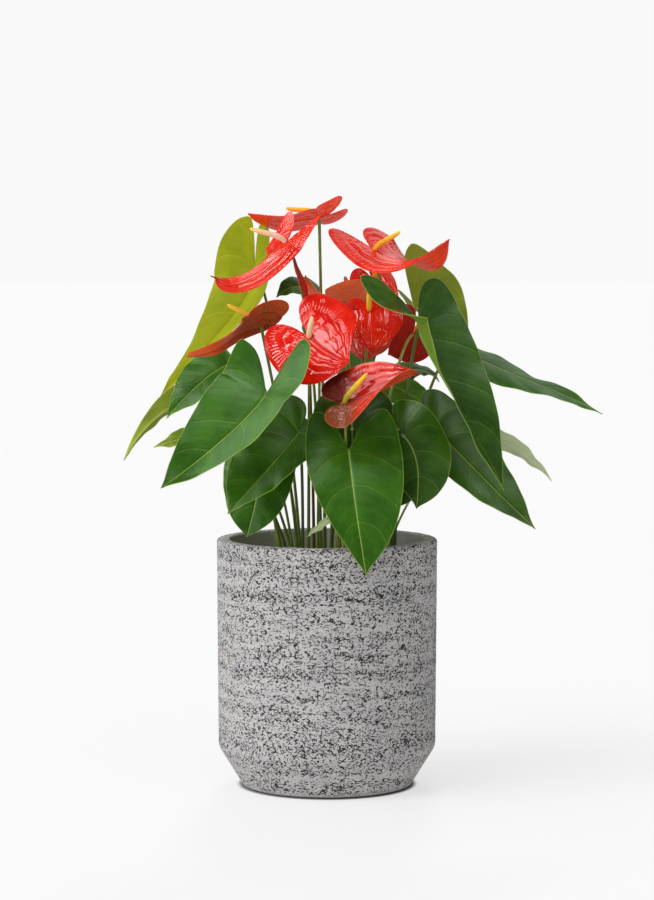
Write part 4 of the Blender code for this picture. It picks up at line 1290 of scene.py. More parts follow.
class Trees:
    """The geometry trees, each built once."""

    def __init__(self) -> None:
        """Builds every tree."""
        self.stalk = self.stalk_tree()
        self.spadix = self.spadix_tree()
        self.crumbs = self.crumb_tree()
        self.skin = self.skin_tree()

    @staticmethod
    def line_share(rig: Rig) -> Socket:
        """The kept share of the run."""
        return rig.lay("GeometryNodeInputNamedAttribute", {"Name": "along"}, data_type="FLOAT").outputs["Attribute"]

    @staticmethod
    def curve(rig: Rig, host: Socket, spans: Socket) -> tuple[Socket, Socket]:
        """The host's line as a curve, as it is and in even spans."""
        line = rig.lay("GeometryNodeMeshToCurve", {"Mesh": host}).outputs[0]
        return line, rig.lay("GeometryNodeResampleCurve", {"Curve": line, "Count": spans}).outputs[0]

    @staticmethod
    def tube(rig: Rig, line: Socket, radius: Socket, sides: Union[int, Socket]) -> Socket:
        """Sweeps a round section with this radius along a line and closes its ends."""
        sized = rig.lay("GeometryNodeSetCurveRadius", {"Curve": line, "Radius": radius}).outputs[0]
        ring = rig.lay("GeometryNodeCurvePrimitiveCircle", {"Resolution": sides, "Radius": 1.0}).outputs[0]
        sweep = rig.lay("GeometryNodeCurveToMesh", {"Curve": sized, "Profile Curve": ring, "Fill Caps": True})
        if "Scale" in sweep.inputs:
            rig.put(sweep.inputs["Scale"], radius)
        return sweep.outputs[0]

    def stalk_tree(self) -> bpy.types.NodeTree:
        """A stalk along a line: a little stouter at its foot, with a swollen neck under the blade.

        Returns:
            The tree.
        """
        sizes = {"Radius": 0.0016, "Foot": 0.25, "Neck": 0.3, "Neck From": 0.94, "Sides": 14, "Spans": 48}
        tree, rig, given, out = shape_tree("stalk_sweep", sizes)
        even = self.curve(rig, given["Geometry"], given["Spans"])[1]
        share = self.line_share(rig)
        low = rig.times(rig.fall(share, 0.0, 0.6), given["Foot"])
        high = rig.times(rig.step(share, given["Neck From"], 1.0), given["Neck"])
        size = rig.plus(rig.plus(low, high), 1.0)
        swept = self.tube(rig, even, rig.times(size, given["Radius"]), given["Sides"])
        close_tree(rig, swept, given["Finish"], out[0])
        return tree

    def spadix_tree(self) -> bpy.types.NodeTree:
        """A spadix along a line: a tapered core covered by tiny flowers on a spiral.

        Returns:
            The tree.
        """
        sizes = {"Radius": 0.003, "Flower": 0.00062, "Flowers": 460, "Turn": 2.39996, "Sides": 16, "Spans": 28}
        tree, rig, given, out = shape_tree("spadix_flowers", sizes)
        line, even = self.curve(rig, given["Geometry"], given["Spans"])
        share = self.line_share(rig)
        belly = rig.step(share, 0.0, 0.22, 0.80, 1.0)
        narrow = rig.minus(1.0, rig.times(rig.math("POWER", share, 2.6), 0.42))
        end = rig.math("SQRT", rig.minus(1.0, rig.math("POWER", rig.step(share, 0.90, 1.003), 2.0)))
        radius = rig.times(rig.times(rig.times(belly, narrow), end), given["Radius"])
        core = self.tube(rig, even, rig.larger(rig.minus(radius, CORE_INSET), LEAST_CORE), given["Sides"])
        spots = rig.lay("GeometryNodeCurveToPoints", {"Curve": line, "Count": given["Flowers"]}, mode="COUNT")
        angle = rig.times(rig.add("GeometryNodeInputIndex").outputs[0], given["Turn"])
        shell = rig.larger(rig.minus(radius, rig.times(given["Flower"], FLOWER_SINK)), 0.0)
        around = [rig.times(rig.math(wave, angle), shell) for wave in ("COSINE", "SINE")]
        flat = rig.lay("ShaderNodeCombineXYZ", {"X": around[0], "Y": around[1]}).outputs[0]
        turned = rig.lay("FunctionNodeRotateVector", {"Vector": flat, "Rotation": spots.outputs["Rotation"]})
        moved = rig.lay(
            "GeometryNodeSetPosition", {"Geometry": spots.outputs["Points"], "Offset": turned.outputs[0]})
        bead = rig.lay("GeometryNodeMeshIcoSphere", {"Radius": given["Flower"], "Subdivisions": 1})
        smaller = rig.step(share, 0.75, 1.0, 1.0, 0.65)
        copies = rig.lay(
            "GeometryNodeInstanceOnPoints",
            {"Points": moved.outputs[0], "Instance": bead.outputs["Mesh"], "Scale": smaller})
        close_tree(rig, join(rig, core, copies.outputs[0]), given["Finish"], out[0])
        return tree

    @staticmethod
    def crumb_tree() -> bpy.types.NodeTree:
        """Crumbs of bark and peat strewn over a surface and joined to it.

        Returns:
            The tree.
        """
        sizes = {"Density": 62000.0, "Smallest": 0.0009, "Largest": 0.0030, "Seed": 7}
        tree, rig, given, out = shape_tree("strewn_crumbs", sizes)
        ground, seed = given["Geometry"], given["Seed"]
        spots = rig.lay(
            "GeometryNodeDistributePointsOnFaces", {"Mesh": ground, "Density": given["Density"], "Seed": seed})
        crumb = rig.lay("GeometryNodeMeshIcoSphere", {"Radius": 1.0, "Subdivisions": 1})
        squash = rig.lay("GeometryNodeTransform", {"Geometry": crumb.outputs["Mesh"], "Scale": CRUMB_SHAPE})
        turn = rig.lay("FunctionNodeRandomValue", {"Max": (CRUMB_TURN,) * 3, "Seed": seed}, data_type="FLOAT_VECTOR")
        size = rig.lay("FunctionNodeRandomValue", {"Seed": seed}, data_type="FLOAT")
        ends = [socket for socket in size.inputs if socket.name in ("Min", "Max") and socket.type == "VALUE"]
        rig.put(ends[0], given["Smallest"])
        rig.put(ends[1], given["Largest"])
        chosen = [socket for socket in size.outputs if socket.name == "Value" and socket.type == "VALUE"][0]
        feeds = {
            "Points": spots.outputs["Points"],
            "Instance": squash.outputs[0],
            "Rotation": turn.outputs["Value"],
            "Scale": chosen,
        }
        copies = rig.lay("GeometryNodeInstanceOnPoints", feeds)
        close_tree(rig, join(rig, ground, copies.outputs[0]), given["Finish"], out[0])
        return tree

    @staticmethod
    def skin_tree() -> bpy.types.NodeTree:
        """Low level ripples pressed into a cast wall.

        Returns:
            The tree.
        """
        sizes = {"Depth": 0.0009, "Scale": 60.0, "Flatness": 2.0}
        tree, rig, given, out = shape_tree("cast_skin", sizes)
        place = rig.add("GeometryNodeInputPosition").outputs[0]
        flat = rig.lay("ShaderNodeCombineXYZ", {"X": 1.0, "Y": 1.0, "Z": given["Flatness"]}).outputs[0]
        rough = rig.noise(rig.stretch(place, flat), given["Scale"], 4.0, 0.6)
        inward = rig.vector("SCALE", rig.add("GeometryNodeInputNormal").outputs[0])
        rig.put(inward.node.inputs["Scale"], rig.times(rig.times(rough, given["Depth"]), -1.0))
        moved = rig.lay("GeometryNodeSetPosition", {"Geometry": given["Geometry"], "Offset": inward})
        close_tree(rig, moved.outputs[0], given["Finish"], out[0])
        return tree


TREES = Trees()


@dataclass(frozen=True)
class Stalk:
    """One stalk: its look, its radius in millimetres and how far its neck swells, as a share of that."""

    look: StalkLook = StalkLook.GREEN
    radius: float = 1.6
    neck: float = 0.35

    def build(self, name: str, path: np.ndarray, *nodes: str) -> bpy.types.Object:
        """Sweeps the stalk along its axis.

        Args:
            name: the piece's name.
            path: the axis in metres.
            nodes: the solids that it stands for.

        Returns:
            The piece.
        """
        finish = finish_of(self.look)
        mesh = grow(name, line_mesh(name, path), TREES.stalk, radius=self.radius * MM, neck=self.neck, finish=finish)
        return show(name, mesh, finish, self.look.value.slot, *nodes)


@dataclass(frozen=True)
class Leaf:
    """One leaf: its blade's form and look, and its stalk."""

    form: BladeForm
    look: LeafLook = LeafLook.GREEN
    stalk: Stalk = Stalk()
    relief: Relief = LEAF_RELIEF

    def build(self) -> None:
        """Builds and dresses the blade and its stalk."""
        sheet = Sheet(self.form)
        name = self.form.name
        mesh = blade_mesh(sheet, name + "_blade", self.relief)
        show(name + "_blade", mesh, finish_of(self.look), self.look.value.slot, name)
        joint, normal = sheet.joint()
        path = stalk_path(self.form.root, self.form.knee, joint, normal, LEAF_STALK_STOP * BLADE_THICKNESS * MM)
        self.stalk.build(name + "_petiole", path, name)


@dataclass(frozen=True)
class Bloom:
    """One bloom: spathe, spadix and stalk."""

    form: BladeForm
    look: BloomLook
    spadix: SpadixLook
    stalk: Stalk
    relief: Relief = SPATHE_RELIEF
    spadix_radius: float = 3.0

    def build(self) -> None:
        """Builds and dresses the three pieces."""
        form, name = self.form, self.form.name
        sheet = Sheet(form)
        mesh = blade_mesh(sheet, name + "_skin", self.relief)
        show(name + "_skin", mesh, finish_of(self.look), self.look.value.slot, name + "_spathe")
        joint, normal = sheet.joint()
        path = stalk_path(form.root, form.knee, joint, normal, BLOOM_STALK_STOP * BLADE_THICKNESS * MM)
        self.stalk.build(name + "_peduncle", path, name + "_stalk")
        way, length = unit(form.spadix), form.spadix_length * MM
        start = joint + normal * SPADIX_LIFT * MM
        upright = start + normal * SPADIX_UPRIGHT * length
        bowed = (start, upright, start + way * SPADIX_BOW * length, start + way * length)
        axis = bezier(bowed, np.linspace(0, 1, SPADIX_POINTS))
        finish = finish_of(self.spadix)
        flowers = int(FLOWERS_PER_MM * form.spadix_length)
        line, radius = line_mesh(name, axis), self.spadix_radius * MM
        tube = grow(name + "_flowers", line, TREES.spadix, radius=radius, flowers=flowers, finish=finish)
        points = np.array([v.co for v in tube.vertices])
        near = np.argmin(np.linalg.norm(points[:, None] - axis[None], axis=2), axis=1)
        if "along" in tube.attributes:
            tube.attributes.remove(tube.attributes["along"])
        store(tube, "along", near / (len(axis) - 1))
        show(name + "_flowers", tube, finish, self.spadix.value.slot, name + "_spadix")


LEAF_FORMS = (
    BladeForm("leaf_front", ((23, -88, 371), (28, -114, 329), (34, -130, 287), (41, -138, 243)), (0.05, -1, 0.3),
          half=(46, 56), lobe=(47, 47), root=(26, -80), knee=(24, -78, 341), fold=(8, 10), curl=(-12, -20),
          lift=(15, 10), apex=(0.68, 0.72), wave=(1.5, 3, 0.1), full=(0.2, 1.0)),
    BladeForm("leaf_left_large", ((-64, -108, 432), (-92, -114, 400), (-135, -126, 363), (-172, -156, 337)),
          (-0.11, -1.07, 0.8), half=(57, 39), lobe=(44, 71), root=(-46, -2), knee=(-112, 0, 530),
          fold=(2, 38), tip_fold=(0, 22), lobe_fold=(5, 13), curl=(-6, -5), lift=(41, 23), twist=-19,
          apex=(0.84, 0.35), wave=(2, 3, 0.3), full=(0.28, 0.2)),
    BladeForm("leaf_left_inner", ((-30, -54, 388), (-53, -74, 361), (-77, -90, 335), (-105, -102, 305)),
          (-0.3, -1, 0.5), half=(54, 36), lobe=(38, 8), root=(-26, -38), knee=(-26, -44, 363), fold=(5, 30),
          curl=(-10, -20), full=(0.9, 1.1)),
    BladeForm("leaf_left_low", ((-68, -28, 381), (-70, -42, 347), (-77, -50, 311), (-86, -56, 275)),
          (-0.2, -1, 0.3), half=(44, 38), lobe=(12, 12), root=(-34, -28), knee=(-59, -20, 367), fold=(5, 10),
          curl=(-15, -20), full=(1.5, 1.5)),
    BladeForm("leaf_right_low", ((82, -60, 385), (94, -70, 363), (97, -76, 337), (95, -78, 308)),
          (-0.1, -1, 0.4), half=(38, 40), lobe=(30, 36), root=(66, -38), knee=(82, -50, 350), fold=(-5, 5),
          wave=(4, 3, 0.1), full=(0.5, 1.2)),
    BladeForm("leaf_right_wide", ((118, -30, 389), (154, -40, 352), (189, -46, 317), (224, -50, 284)),
          (0.3, -1, 0.8), half=(34, 46), lobe=(30, 42), root=(54, -16), knee=(100, -22, 378),
          full=(0.6, 0.5)),
    BladeForm("leaf_right_long", ((98, -58, 498), (117, -68, 458), (151, -78, 399), (188, -80, 328)),
          (0.25, -1, 0.35), half=(54, 54), lobe=(71, 52), root=(72, -8), knee=(89, -24, 467), fold=(94, 0),
          curl=(-22, -6), lift=(5, 5), tip_fold=(50, 0), lobe_fold=(12, 0), apex=(0.87, 0.57),
          full=(0.3, 0.5)),
    BladeForm("leaf_right_olive", ((96, 98, 524), (117, 104, 504), (138, 108, 485), (158, 110, 465)),
          (0.05, 1, 0.2), half=(56, 44), lobe=(52, 20), root=(46, 26), knee=(107, 64, 508), fold=(0, 80),
          curl=(-10, -10), lift=(5, 5), apex=(0.8, 0.5), full=(0.4, 0.4)),
    BladeForm("leaf_right_far", ((139, 64, 479), (192, 66, 452), (250, 68, 428), (307, 70, 401)),
          (0.1, -0.36, 1), half=(40, 35), lobe=(34, 26), root=(62, 22), knee=(125, 58, 466), fold=(5, 5),
          wave=(2.5, 2.5, 0.2)),
    BladeForm("leaf_right_pale", ((154, 18, 395), (185, 13, 379), (216, 6, 360), (245, 0, 332)),
          (0.2, 0.6, 1), half=(24, 24), lobe=(22, 22), root=(58, -4), knee=(137, 20, 384)),
    BladeForm("leaf_left_mid", ((-105, -22, 460), (-125, -33, 449), (-147, -43, 430), (-172, -50, 403)),
          (-0.3, -1, 0.6), half=(32, 34), lobe=(8, 8), root=(-50, 14), knee=(-93, 8, 446), fold=(10, 30)),
    BladeForm("leaf_left_twisted", ((-124, 12, 434), (-154, 6, 421), (-188, -2, 399), (-221, -8, 354)),
          (-0.2, 0.9, 0.4), half=(20, 26), lobe=(18, 22), root=(-34, 24), knee=(-112, 18, 422),
          fold=(60, 0), full=(-0.6, -0.6), twist=60),
    BladeForm("leaf_left_small", ((-114, 0, 388), (-138, -10, 384), (-162, -20, 378), (-187, -28, 371)),
          (-0.2, -0.8, 0.9), half=(20, 20), lobe=(14, 14), root=(-38, 2), knee=(-99, 4, 380)),
    BladeForm("leaf_inner_back", ((79, 78, 443), (94, 84, 450), (111, 88, 448), (126, 90, 436)),
          (0.0, -0.25, 1), half=(24, 24), lobe=(20, 20), root=(24, 58), knee=(66, 72, 426)),
    BladeForm("leaf_inner_bright", ((73, 22, 434), (89, 20, 426), (106, 16, 415), (123, 12, 400)),
          (0.1, -0.7, 1), half=(26, 26), lobe=(16, 16), root=(46, 4), knee=(69, 22, 415)),
    BladeForm("leaf_inner_dark", ((94, 6, 365), (90, 2, 344), (84, -2, 322), (74, -6, 302)),
          (0, -1, 0.3), half=(30, 30), lobe=(20, 20), root=(64, 8), knee=(91, 8, 346)),
    BladeForm("leaf_inner_middle", ((27, -28, 391), (27, -40, 362), (25, -48, 330), (20, -54, 299)),
          (0, -1, 0.2), half=(44, 50), lobe=(42, 46), root=(8, -18), knee=(25, -20, 365), fold=(5, 5),
          curl=(-15, -15), lift=(5, 5), apex=(0.62, 0.5)),
    BladeForm("leaf_inner_top", ((-10, 62, 532), (-25, 56, 542), (-41, 50, 541), (-56, 44, 531)),
          (0.2, -0.4, 1), half=(26, 26), lobe=(20, 20), root=(-10, 46), knee=(-6, 64, 517)),
    BladeForm("leaf_lime", ((-80, 72, 563), (-96, 64, 521), (-136, 52, 473), (-187, 42, 416)),
          (-0.25, -1, 0.3), half=(50, 54), lobe=(58, 50), root=(-28, 22), knee=(-66, 80, 543), fold=(0, 60),
          curl=(-20, -10), lift=(5, 5), apex=(0.15, 0.46), full=(-0.7, 0.5)),
    BladeForm("leaf_back_left", ((-54, 68, 384), (-62, 98, 358), (-68, 122, 320), (-70, 138, 274)),
          (-0.2, 1, 0.5), half=(38, 46), lobe=(26, 28), root=(-30, 36), knee=(-48, 54, 368), fold=(8, 8),
          wave=(1.5, 3, 0.4)),
    BladeForm("leaf_back_middle", ((17, 92, 498), (20, 124, 482), (26, 152, 456), (32, 172, 416)),
          (0.1, 1, 0.8), half=(46, 46), lobe=(34, 34), root=(4, 56), knee=(17, 70, 478), fold=(8, 8)),
    BladeForm("leaf_back_right", ((54, 94, 396), (60, 122, 370), (66, 144, 332), (70, 158, 286)),
          (0.2, 1, 0.5), half=(46, 44), lobe=(24, 24), root=(42, 46), knee=(50, 76, 378), fold=(8, 8),
          wave=(1.5, 3, 0.7)),
    BladeForm("sheath_strap", ((13, -74, 303), (3, -74, 297), (-9, -74, 288), (-22, -74, 278)),
          (-0.2, -1, 0.8), half=(5, 5), lobe=(4, 4), root=(18, -72), knee=(16, -73, 293), fold=(5, 5),
          curl=(0, 0), lift=(0, 0), full=(1.2, 1.2)),
)

BLOOM_FORMS = (
    BladeForm("bloom_centre", ((-19, -72, 491), (-5, -80, 479), (9, -86, 470), (24, -90, 463)),
          (-0.25, -1, 0.75), half=(50, 58), lobe=(36, 38), root=(-20, -16), knee=(-19, -18, 462),
          fold=(0, 0), full=(0.9, 0.5), spadix=(4, -12, 26), spadix_length=24),
    BladeForm("bloom_inner", ((45, -22, 519), (46, -30, 502), (47, -35, 486), (48, -38, 473)),
          (0.12, -1, 0.6), half=(28, 38), lobe=(12, 20), root=(24, 6), knee=(47, -8, 490),
          fold=(0, 0), lobe_fold=(20, 0), spadix=(0, -14, 30), spadix_length=22),
    BladeForm("bloom_right_top", ((51, -10, 583), (78, -19, 572), (105, -30, 577), (131, -40, 595)),
          (-0.06, -0.21, 1.22), half=(46, 52), lobe=(48, 26), root=(12, 26), knee=(80, 42, 520),
          fold=(-2, 16), tip_fold=(9, -54), lift=(4, 12), apex=(0.57, 0.36), full=(1.14, 0.46),
          spadix=(26, -4, 18), spadix_length=34),
    BladeForm("bloom_left_top", ((-45, -40, 591), (-68, -49, 570), (-95, -44, 555), (-124, -52, 556)),
          (-0.39, -0.49, 1.17), half=(33, 21), lobe=(42, 47), root=(-6, 14), knee=(-18, 0, 560),
          fold=(-7, -16), lift=(43, 2), lobe_fold=(1, 19), tip_fold=(-55, -50), apex=(0.42, 0.89),
          full=(0.4, 2.06), spadix=(-36, -4, 14), spadix_length=40),
    BladeForm("bloom_top", ((-9, 34, 619), (-35, 31, 615), (-63, 23, 615), (-86, 14, 623)),
          (-0.05, 0.22, 1.06), half=(35, 32), lobe=(31, 35), root=(-2, 30), knee=(-8, 36, 588),
          fold=(3, 7), lobe_fold=(-14, 29), tip_fold=(-5, 8), curl=(-8, -11), lift=(40, 44), twist=-2,
          apex=(0.55, 0.26), wave=(2, 2, 0.3), spadix=(-34, 6, 9), spadix_length=38),
    BladeForm("bloom_left_brown", ((-70, -36, 501), (-102, -40, 488), (-117, -58, 478), (-151, -46, 469)),
          (-0.24, 0.65, 0.64), half=(10, 35), lobe=(25, 38), root=(-30, 4), knee=(-67, -28, 477),
          fold=(15, -4), lobe_fold=(22, 31), tip_fold=(-19, -25), lift=(33, 0), apex=(0.29, 0.45),
          full=(0.58, 1.46), spadix=(-38, 4, 24), spadix_length=44),
    BladeForm("bloom_orange_back", ((27, 19, 528), (15, 13, 529), (-5, 16, 528), (-23, 5, 556)),
          (-0.13, 1.14, 0.58), half=(20, 32), lobe=(14, 27), root=(4, 34), knee=(30, 22, 504),
          fold=(0, 8), lobe_fold=(0, 13), tip_fold=(10, -7), curl=(-10, -7), lift=(0, 33), twist=-18,
          full=(0.6, 0.67), spadix=(-8, 14, 28), spadix_length=30),
    BladeForm("bloom_back", ((50, 62, 552), (59, 64, 541), (70, 64, 532), (81, 62, 528)),
          (0, -0.8, 1), half=(34, 34), lobe=(22, 22), root=(16, 42), knee=(52, 64, 528),
          fold=(0, 0), spadix=(10, -10, 26), spadix_length=28),
    BladeForm("bloom_dark_back", ((94, 31, 491), (87, 41, 480), (78, 48, 473), (67, 53, 468)),
          (0.3, 0.9, 0.5), half=(28, 34), lobe=(34, 34), root=(36, -14), knee=(81, -2, 490),
          fold=(0, 0), spadix=(14, 24, 18), spadix_length=28),
    BladeForm("bloom_pink", ((45, 12, 496), (44, 7, 483), (42, 2, 472), (42, -2, 462)),
          (0, -1, 0.5), half=(28, 26), lobe=(14, 14), root=(32, 16), knee=(45, 20, 472),
          fold=(0, 0), spadix=(-4, -10, 22), spadix_length=20),
    BladeForm("bloom_front_low", ((19, -104, 423), (44, -110, 431), (74, -119, 445), (96, -112, 455)),
          (-0.12, -0.76, 0.69), half=(33, 38), lobe=(22, 23), root=(22, -56), knee=(19, -74, 424),
          fold=(21, 9), lobe_fold=(-9, -1), tip_fold=(103, 27), curl=(-37, 0), lift=(24, 0), twist=7,
          full=(1.06, 0.62), spadix=(24, -10, 32), spadix_length=40),
)


@dataclass(frozen=True)
class Planter:
    """The cement planter: a tall drum on a tapered foot, in metres."""

    rim_radius: float = 0.1205
    shoulder_radius: float = 0.1190
    base_radius: float = 0.0925
    height: float = 0.270
    cone_height: float = 0.043
    wall: float = 0.0155
    floor: float = 0.020
    floor_rise: float = 0.030
    foot_round: float = 0.0045
    shoulder_round: float = 0.016
    rim_round: float = 0.0036
    mouth_round: float = 0.0030
    heel_round: float = 0.012
    floor_round: float = 0.008
    round_points: int = 8
    sides: int = 256
    run: float = 0.0035
    finish: CementFinish = CementFinish()

    def corners(self) -> list[Triple]:
        """The profile's corners as (radius, height, rounding), outer side first."""
        inner = self.rim_radius - self.wall
        return [
            (0, 0, 0),
            (self.base_radius, 0, self.foot_round),
            (self.shoulder_radius, self.cone_height, self.shoulder_round),
            (self.rim_radius, self.height, self.rim_round),
            (inner, self.height, self.mouth_round),
            (inner, self.floor + self.floor_rise, self.heel_round),
            (self.base_radius - self.wall, self.floor, self.floor_round),
            (0, self.floor, 0),
        ]

    def profile(self) -> np.ndarray:
        """The rounded profile, in short runs.

        Returns:
            Points of (radius, height).
        """
        corners = self.corners()
        line = [np.array(corners[0][:2], float)]
        for before, here, after in zip(corners, corners[1:], corners[2:]):
            corner = np.array(here[:2], float)
            back = unit(np.array(before[:2]) - corner)
            on = unit(np.array(after[:2]) - corner)
            half = math.acos(float(np.clip(back @ on, -1, 1))) / 2
            reach = here[2] / math.tan(half)
            middle = corner + unit(back + on) * here[2] / math.sin(half)
            first, last = corner + back * reach, corner + on * reach
            start = math.atan2(*(first - middle)[::-1])
            turn = (math.atan2(*(last - middle)[::-1]) - start + math.pi) % (2 * math.pi) - math.pi
            for share in np.linspace(0, 1, self.round_points):
                angle = start + turn * share
                line.append(middle + here[2] * np.array([math.cos(angle), math.sin(angle)]))
        line.append(np.array(corners[-1][:2], float))
        fine = [line[0]]
        for here in line[1:]:
            count = max(1, int(np.linalg.norm(here - fine[-1]) / self.run))
            start = fine[-1]
            fine.extend(start + (here - start) * (i + 1) / count for i in range(count))
        return np.array(fine)

    def build(self) -> None:
        """Turns the profile, presses the cast ripples in and dresses the planter."""
        profile = self.profile()
        angles = round_angles(self.sides)
        rings = profile[1:-1]
        points = [(0.0, 0.0, profile[0][1])]
        for radius, height in rings:
            points.extend(zip(radius * np.cos(angles), radius * np.sin(angles), np.full(self.sides, height)))
        points.append((0.0, 0.0, profile[-1][1]))
        last = len(points) - 1
        faces = []
        for i in range(self.sides):
            j = (i + 1) % self.sides
            faces.append((0, 1 + j, 1 + i))
            for ring in range(len(rings) - 1):
                low, high = 1 + ring * self.sides, 1 + (ring + 1) * self.sides
                faces.append((low + i, low + j, high + j, high + i))
            low = 1 + (len(rings) - 1) * self.sides
            faces.append((low + i, low + j, last))
        mesh = mesh_of("planter_wall", np.array(points), faces)
        outside = np.array([0.0] + [1.0] * (len(points) - 2) + [0.0])
        turned = int(np.argmax(rings[:, 1] >= self.height - HAIR))
        outside[1 + turned * self.sides:] = 0.0
        store(mesh, "outside", outside)
        finish = self.finish.make()
        skin = grow("planter_wall", mesh, TREES.skin, finish=finish)
        show("planter_wall", skin, finish, self.finish.slot, "planter")


@dataclass(frozen=True)
class PottingMix:
    """The potting mix: an uneven top strewn with crumbs, in metres; ripples in turns of x and of y."""

    top: float = SOIL_TOP
    uneven: float = SOIL_UNEVEN
    broad: Pair = (95, 80)
    broad_start: Pair = (0.4, 1.1)
    slant: Pair = (190, 160)
    slant_share: float = 0.6
    fine: Pair = (520, 470)
    fine_share: float = 0.25
    radius: float = 0.1042
    depth: float = 0.030
    drop: float = 0.0004
    rings: int = 36
    sides: int = 96
    finish: SoilFinish = SoilFinish()

    def height(self, x: float, y: float) -> float:
        """Height of the top at a place."""
        start = self.broad_start
        ripple = math.sin(x * self.broad[0] + start[0]) * math.cos(y * self.broad[1] + start[1])
        ripple += self.slant_share * math.sin(x * self.slant[0] + y * self.slant[1])
        fine = self.fine_share * math.sin(x * self.fine[0]) * math.cos(y * self.fine[1])
        return self.top + self.uneven * (ripple / (1 + self.slant_share) + fine)

    def build(self) -> None:
        """Builds the body and the strewn top, and dresses both."""
        points = [(0.0, 0.0, self.height(0, 0))]
        for level in range(1, self.rings + 1):
            reach = self.radius * level / self.rings
            for i in range(self.sides):
                angle = 2 * math.pi * i / self.sides
                x, y = reach * math.cos(angle), reach * math.sin(angle)
                points.append((x, y, self.height(x, y)))
        faces = [(0, 1 + i, 1 + (i + 1) % self.sides) for i in range(self.sides)]
        for level in range(self.rings - 1):
            first, second = 1 + level * self.sides, 1 + (level + 1) * self.sides
            for i in range(self.sides):
                j = (i + 1) % self.sides
                faces.append((first + i, second + i, second + j, first + j))
        rim = 1 + (self.rings - 1) * self.sides
        floor = len(points)
        points.extend((points[rim + i][0], points[rim + i][1], self.top - self.depth) for i in range(self.sides))
        points.append((0.0, 0.0, self.top - self.depth))
        for i in range(self.sides):
            j = (i + 1) % self.sides
            faces.append((rim + i, floor + i, floor + j, rim + j))
            faces.append((floor + i, len(points) - 1, floor + j))
        finish, slot = self.finish.make(), self.finish.slot
        top = mesh_of("mix_top", np.array(points[:floor]), [face for face in faces if max(face) < floor])
        body = mesh_of("potting_mix_body", np.array(points) - (0, 0, self.drop), faces)
        show("potting_mix_body", body, finish, slot, "potting_mix")
        crumbs = grow("potting_mix_crumbs", top, TREES.crumbs, finish=finish)
        show("potting_mix_crumbs", crumbs, finish, slot, "potting_mix")


@dataclass(frozen=True)
class Bud:
    """The bud: a spathe still rolled to a point, on its stalk; places in millimetres, radii in metres."""

    axis: tuple[Triple, Triple, Triple, Triple] = ((-23, 2, 522), (-26, 4, 542), (-31, 6, 558), (-37, 8, 574))
    root: Pair = (-14, 24)
    knee: Triple = (-20, 6, 502)
    radii: tuple[float, ...] = (0.0019, 0.0036, 0.0041, 0.0037, 0.0029, 0.0019, 0.0005)
    sides: int = 40
    spans: int = 60
    lip: float = 0.16
    roll: float = 0.9
    roll_from: float = 2.2
    tip_from: float = 0.96
    tip_end: float = 1.002
    tip_run: float = 0.042
    stalk: Stalk = Stalk(StalkLook.BROWN, 1.5, 0.1)

    def build(self) -> None:
        """Builds the rolled spathe with its seam, and the stalk."""
        shares = np.linspace(0, 1, self.spans)
        path = cubic_through(self.axis, shares) * MM
        radii = np.interp(shares, np.linspace(0, 1, len(self.radii)), self.radii)
        closing = np.sqrt(np.clip((self.tip_end - shares) / self.tip_run, 0, 1))
        radii *= np.where(shares > self.tip_from, closing, 1)
        tangents = np.gradient(path, axis=0)
        tangents /= np.linalg.norm(tangents, axis=1)[:, None]
        first = np.cross(tangents, (0.0, 1.0, 0.0))
        first /= np.linalg.norm(first, axis=1)[:, None]
        second = np.cross(tangents, first)
        points, along = [], []
        for i, (centre, radius) in enumerate(zip(path, radii)):
            for j in range(self.sides):
                share = j / (self.sides - 1)
                angle = 2 * math.pi * (share + self.roll * shares[i]) + self.roll_from
                size = radius * (1 - self.lip + 2 * self.lip * share if share < 1 else 1 - self.lip)
                points.append(centre + size * (first[i] * math.cos(angle) + second[i] * math.sin(angle)))
                along.append((share, shares[i]))
        faces = []
        for i in range(self.spans - 1):
            for j in range(self.sides):
                k = (j + 1) % self.sides
                low, high = i * self.sides, (i + 1) * self.sides
                faces.append((low + j, low + k, high + k, high + j))
        faces.append(tuple(range(self.sides))[::-1])
        faces.append(tuple((self.spans - 1) * self.sides + j for j in range(self.sides)))
        mesh = mesh_of("bud_roll", np.array(points), faces)
        around, along = np.array(along).T
        kept = {"ray": along, "reach": around * 0.4, "rib": 9.0, "edge": 9.0, "along": along, "side": 0.5, "under": 0.0}
        for key, values in kept.items():
            store(mesh, key, np.broadcast_to(values, len(points)))
        mesh.set_sharp_from_angle(angle=math.radians(SHARP_ANGLE))
        shape = bmesh.new()
        shape.from_mesh(mesh)
        bmesh.ops.recalc_face_normals(shape, faces=shape.faces)
        shape.to_mesh(mesh)
        shape.free()
        show("bud_roll", mesh, finish_of(BloomLook.DARK), "bud_red", "bud_spathe")
        normal = unit(path[1] - path[0])
        run = stalk_path(self.root, self.knee, path[0], normal, 0.0)
        self.stalk.build("bud_peduncle", run, "bud_stalk")


@dataclass(frozen=True)
class Panel:
    """A pale panel that the glossy skins mirror: where it is, how wide in cosines, and how bright."""

    way: Triple
    edge: float
    full: float
    glow: float


PANELS = (
    Panel((-0.80, -0.10, 0.59), 0.80, 0.93, 4.2),
    Panel((-0.64, -0.74, 0.19), 0.950, 0.985, 2.5),
    Panel((-0.10, -0.42, 0.90), 0.980, 0.990, 7.5),
    Panel((0.66, -0.38, 0.64), 0.984, 0.992, 9.0),
    Panel((0.26, 0.72, 0.64), 0.88, 0.96, 0.9),
    Panel((0.78, -0.05, 0.62), 0.84, 0.95, 0.7),
    Panel((-0.52, -0.48, 0.71), 0.978, 0.988, 11.0),
)


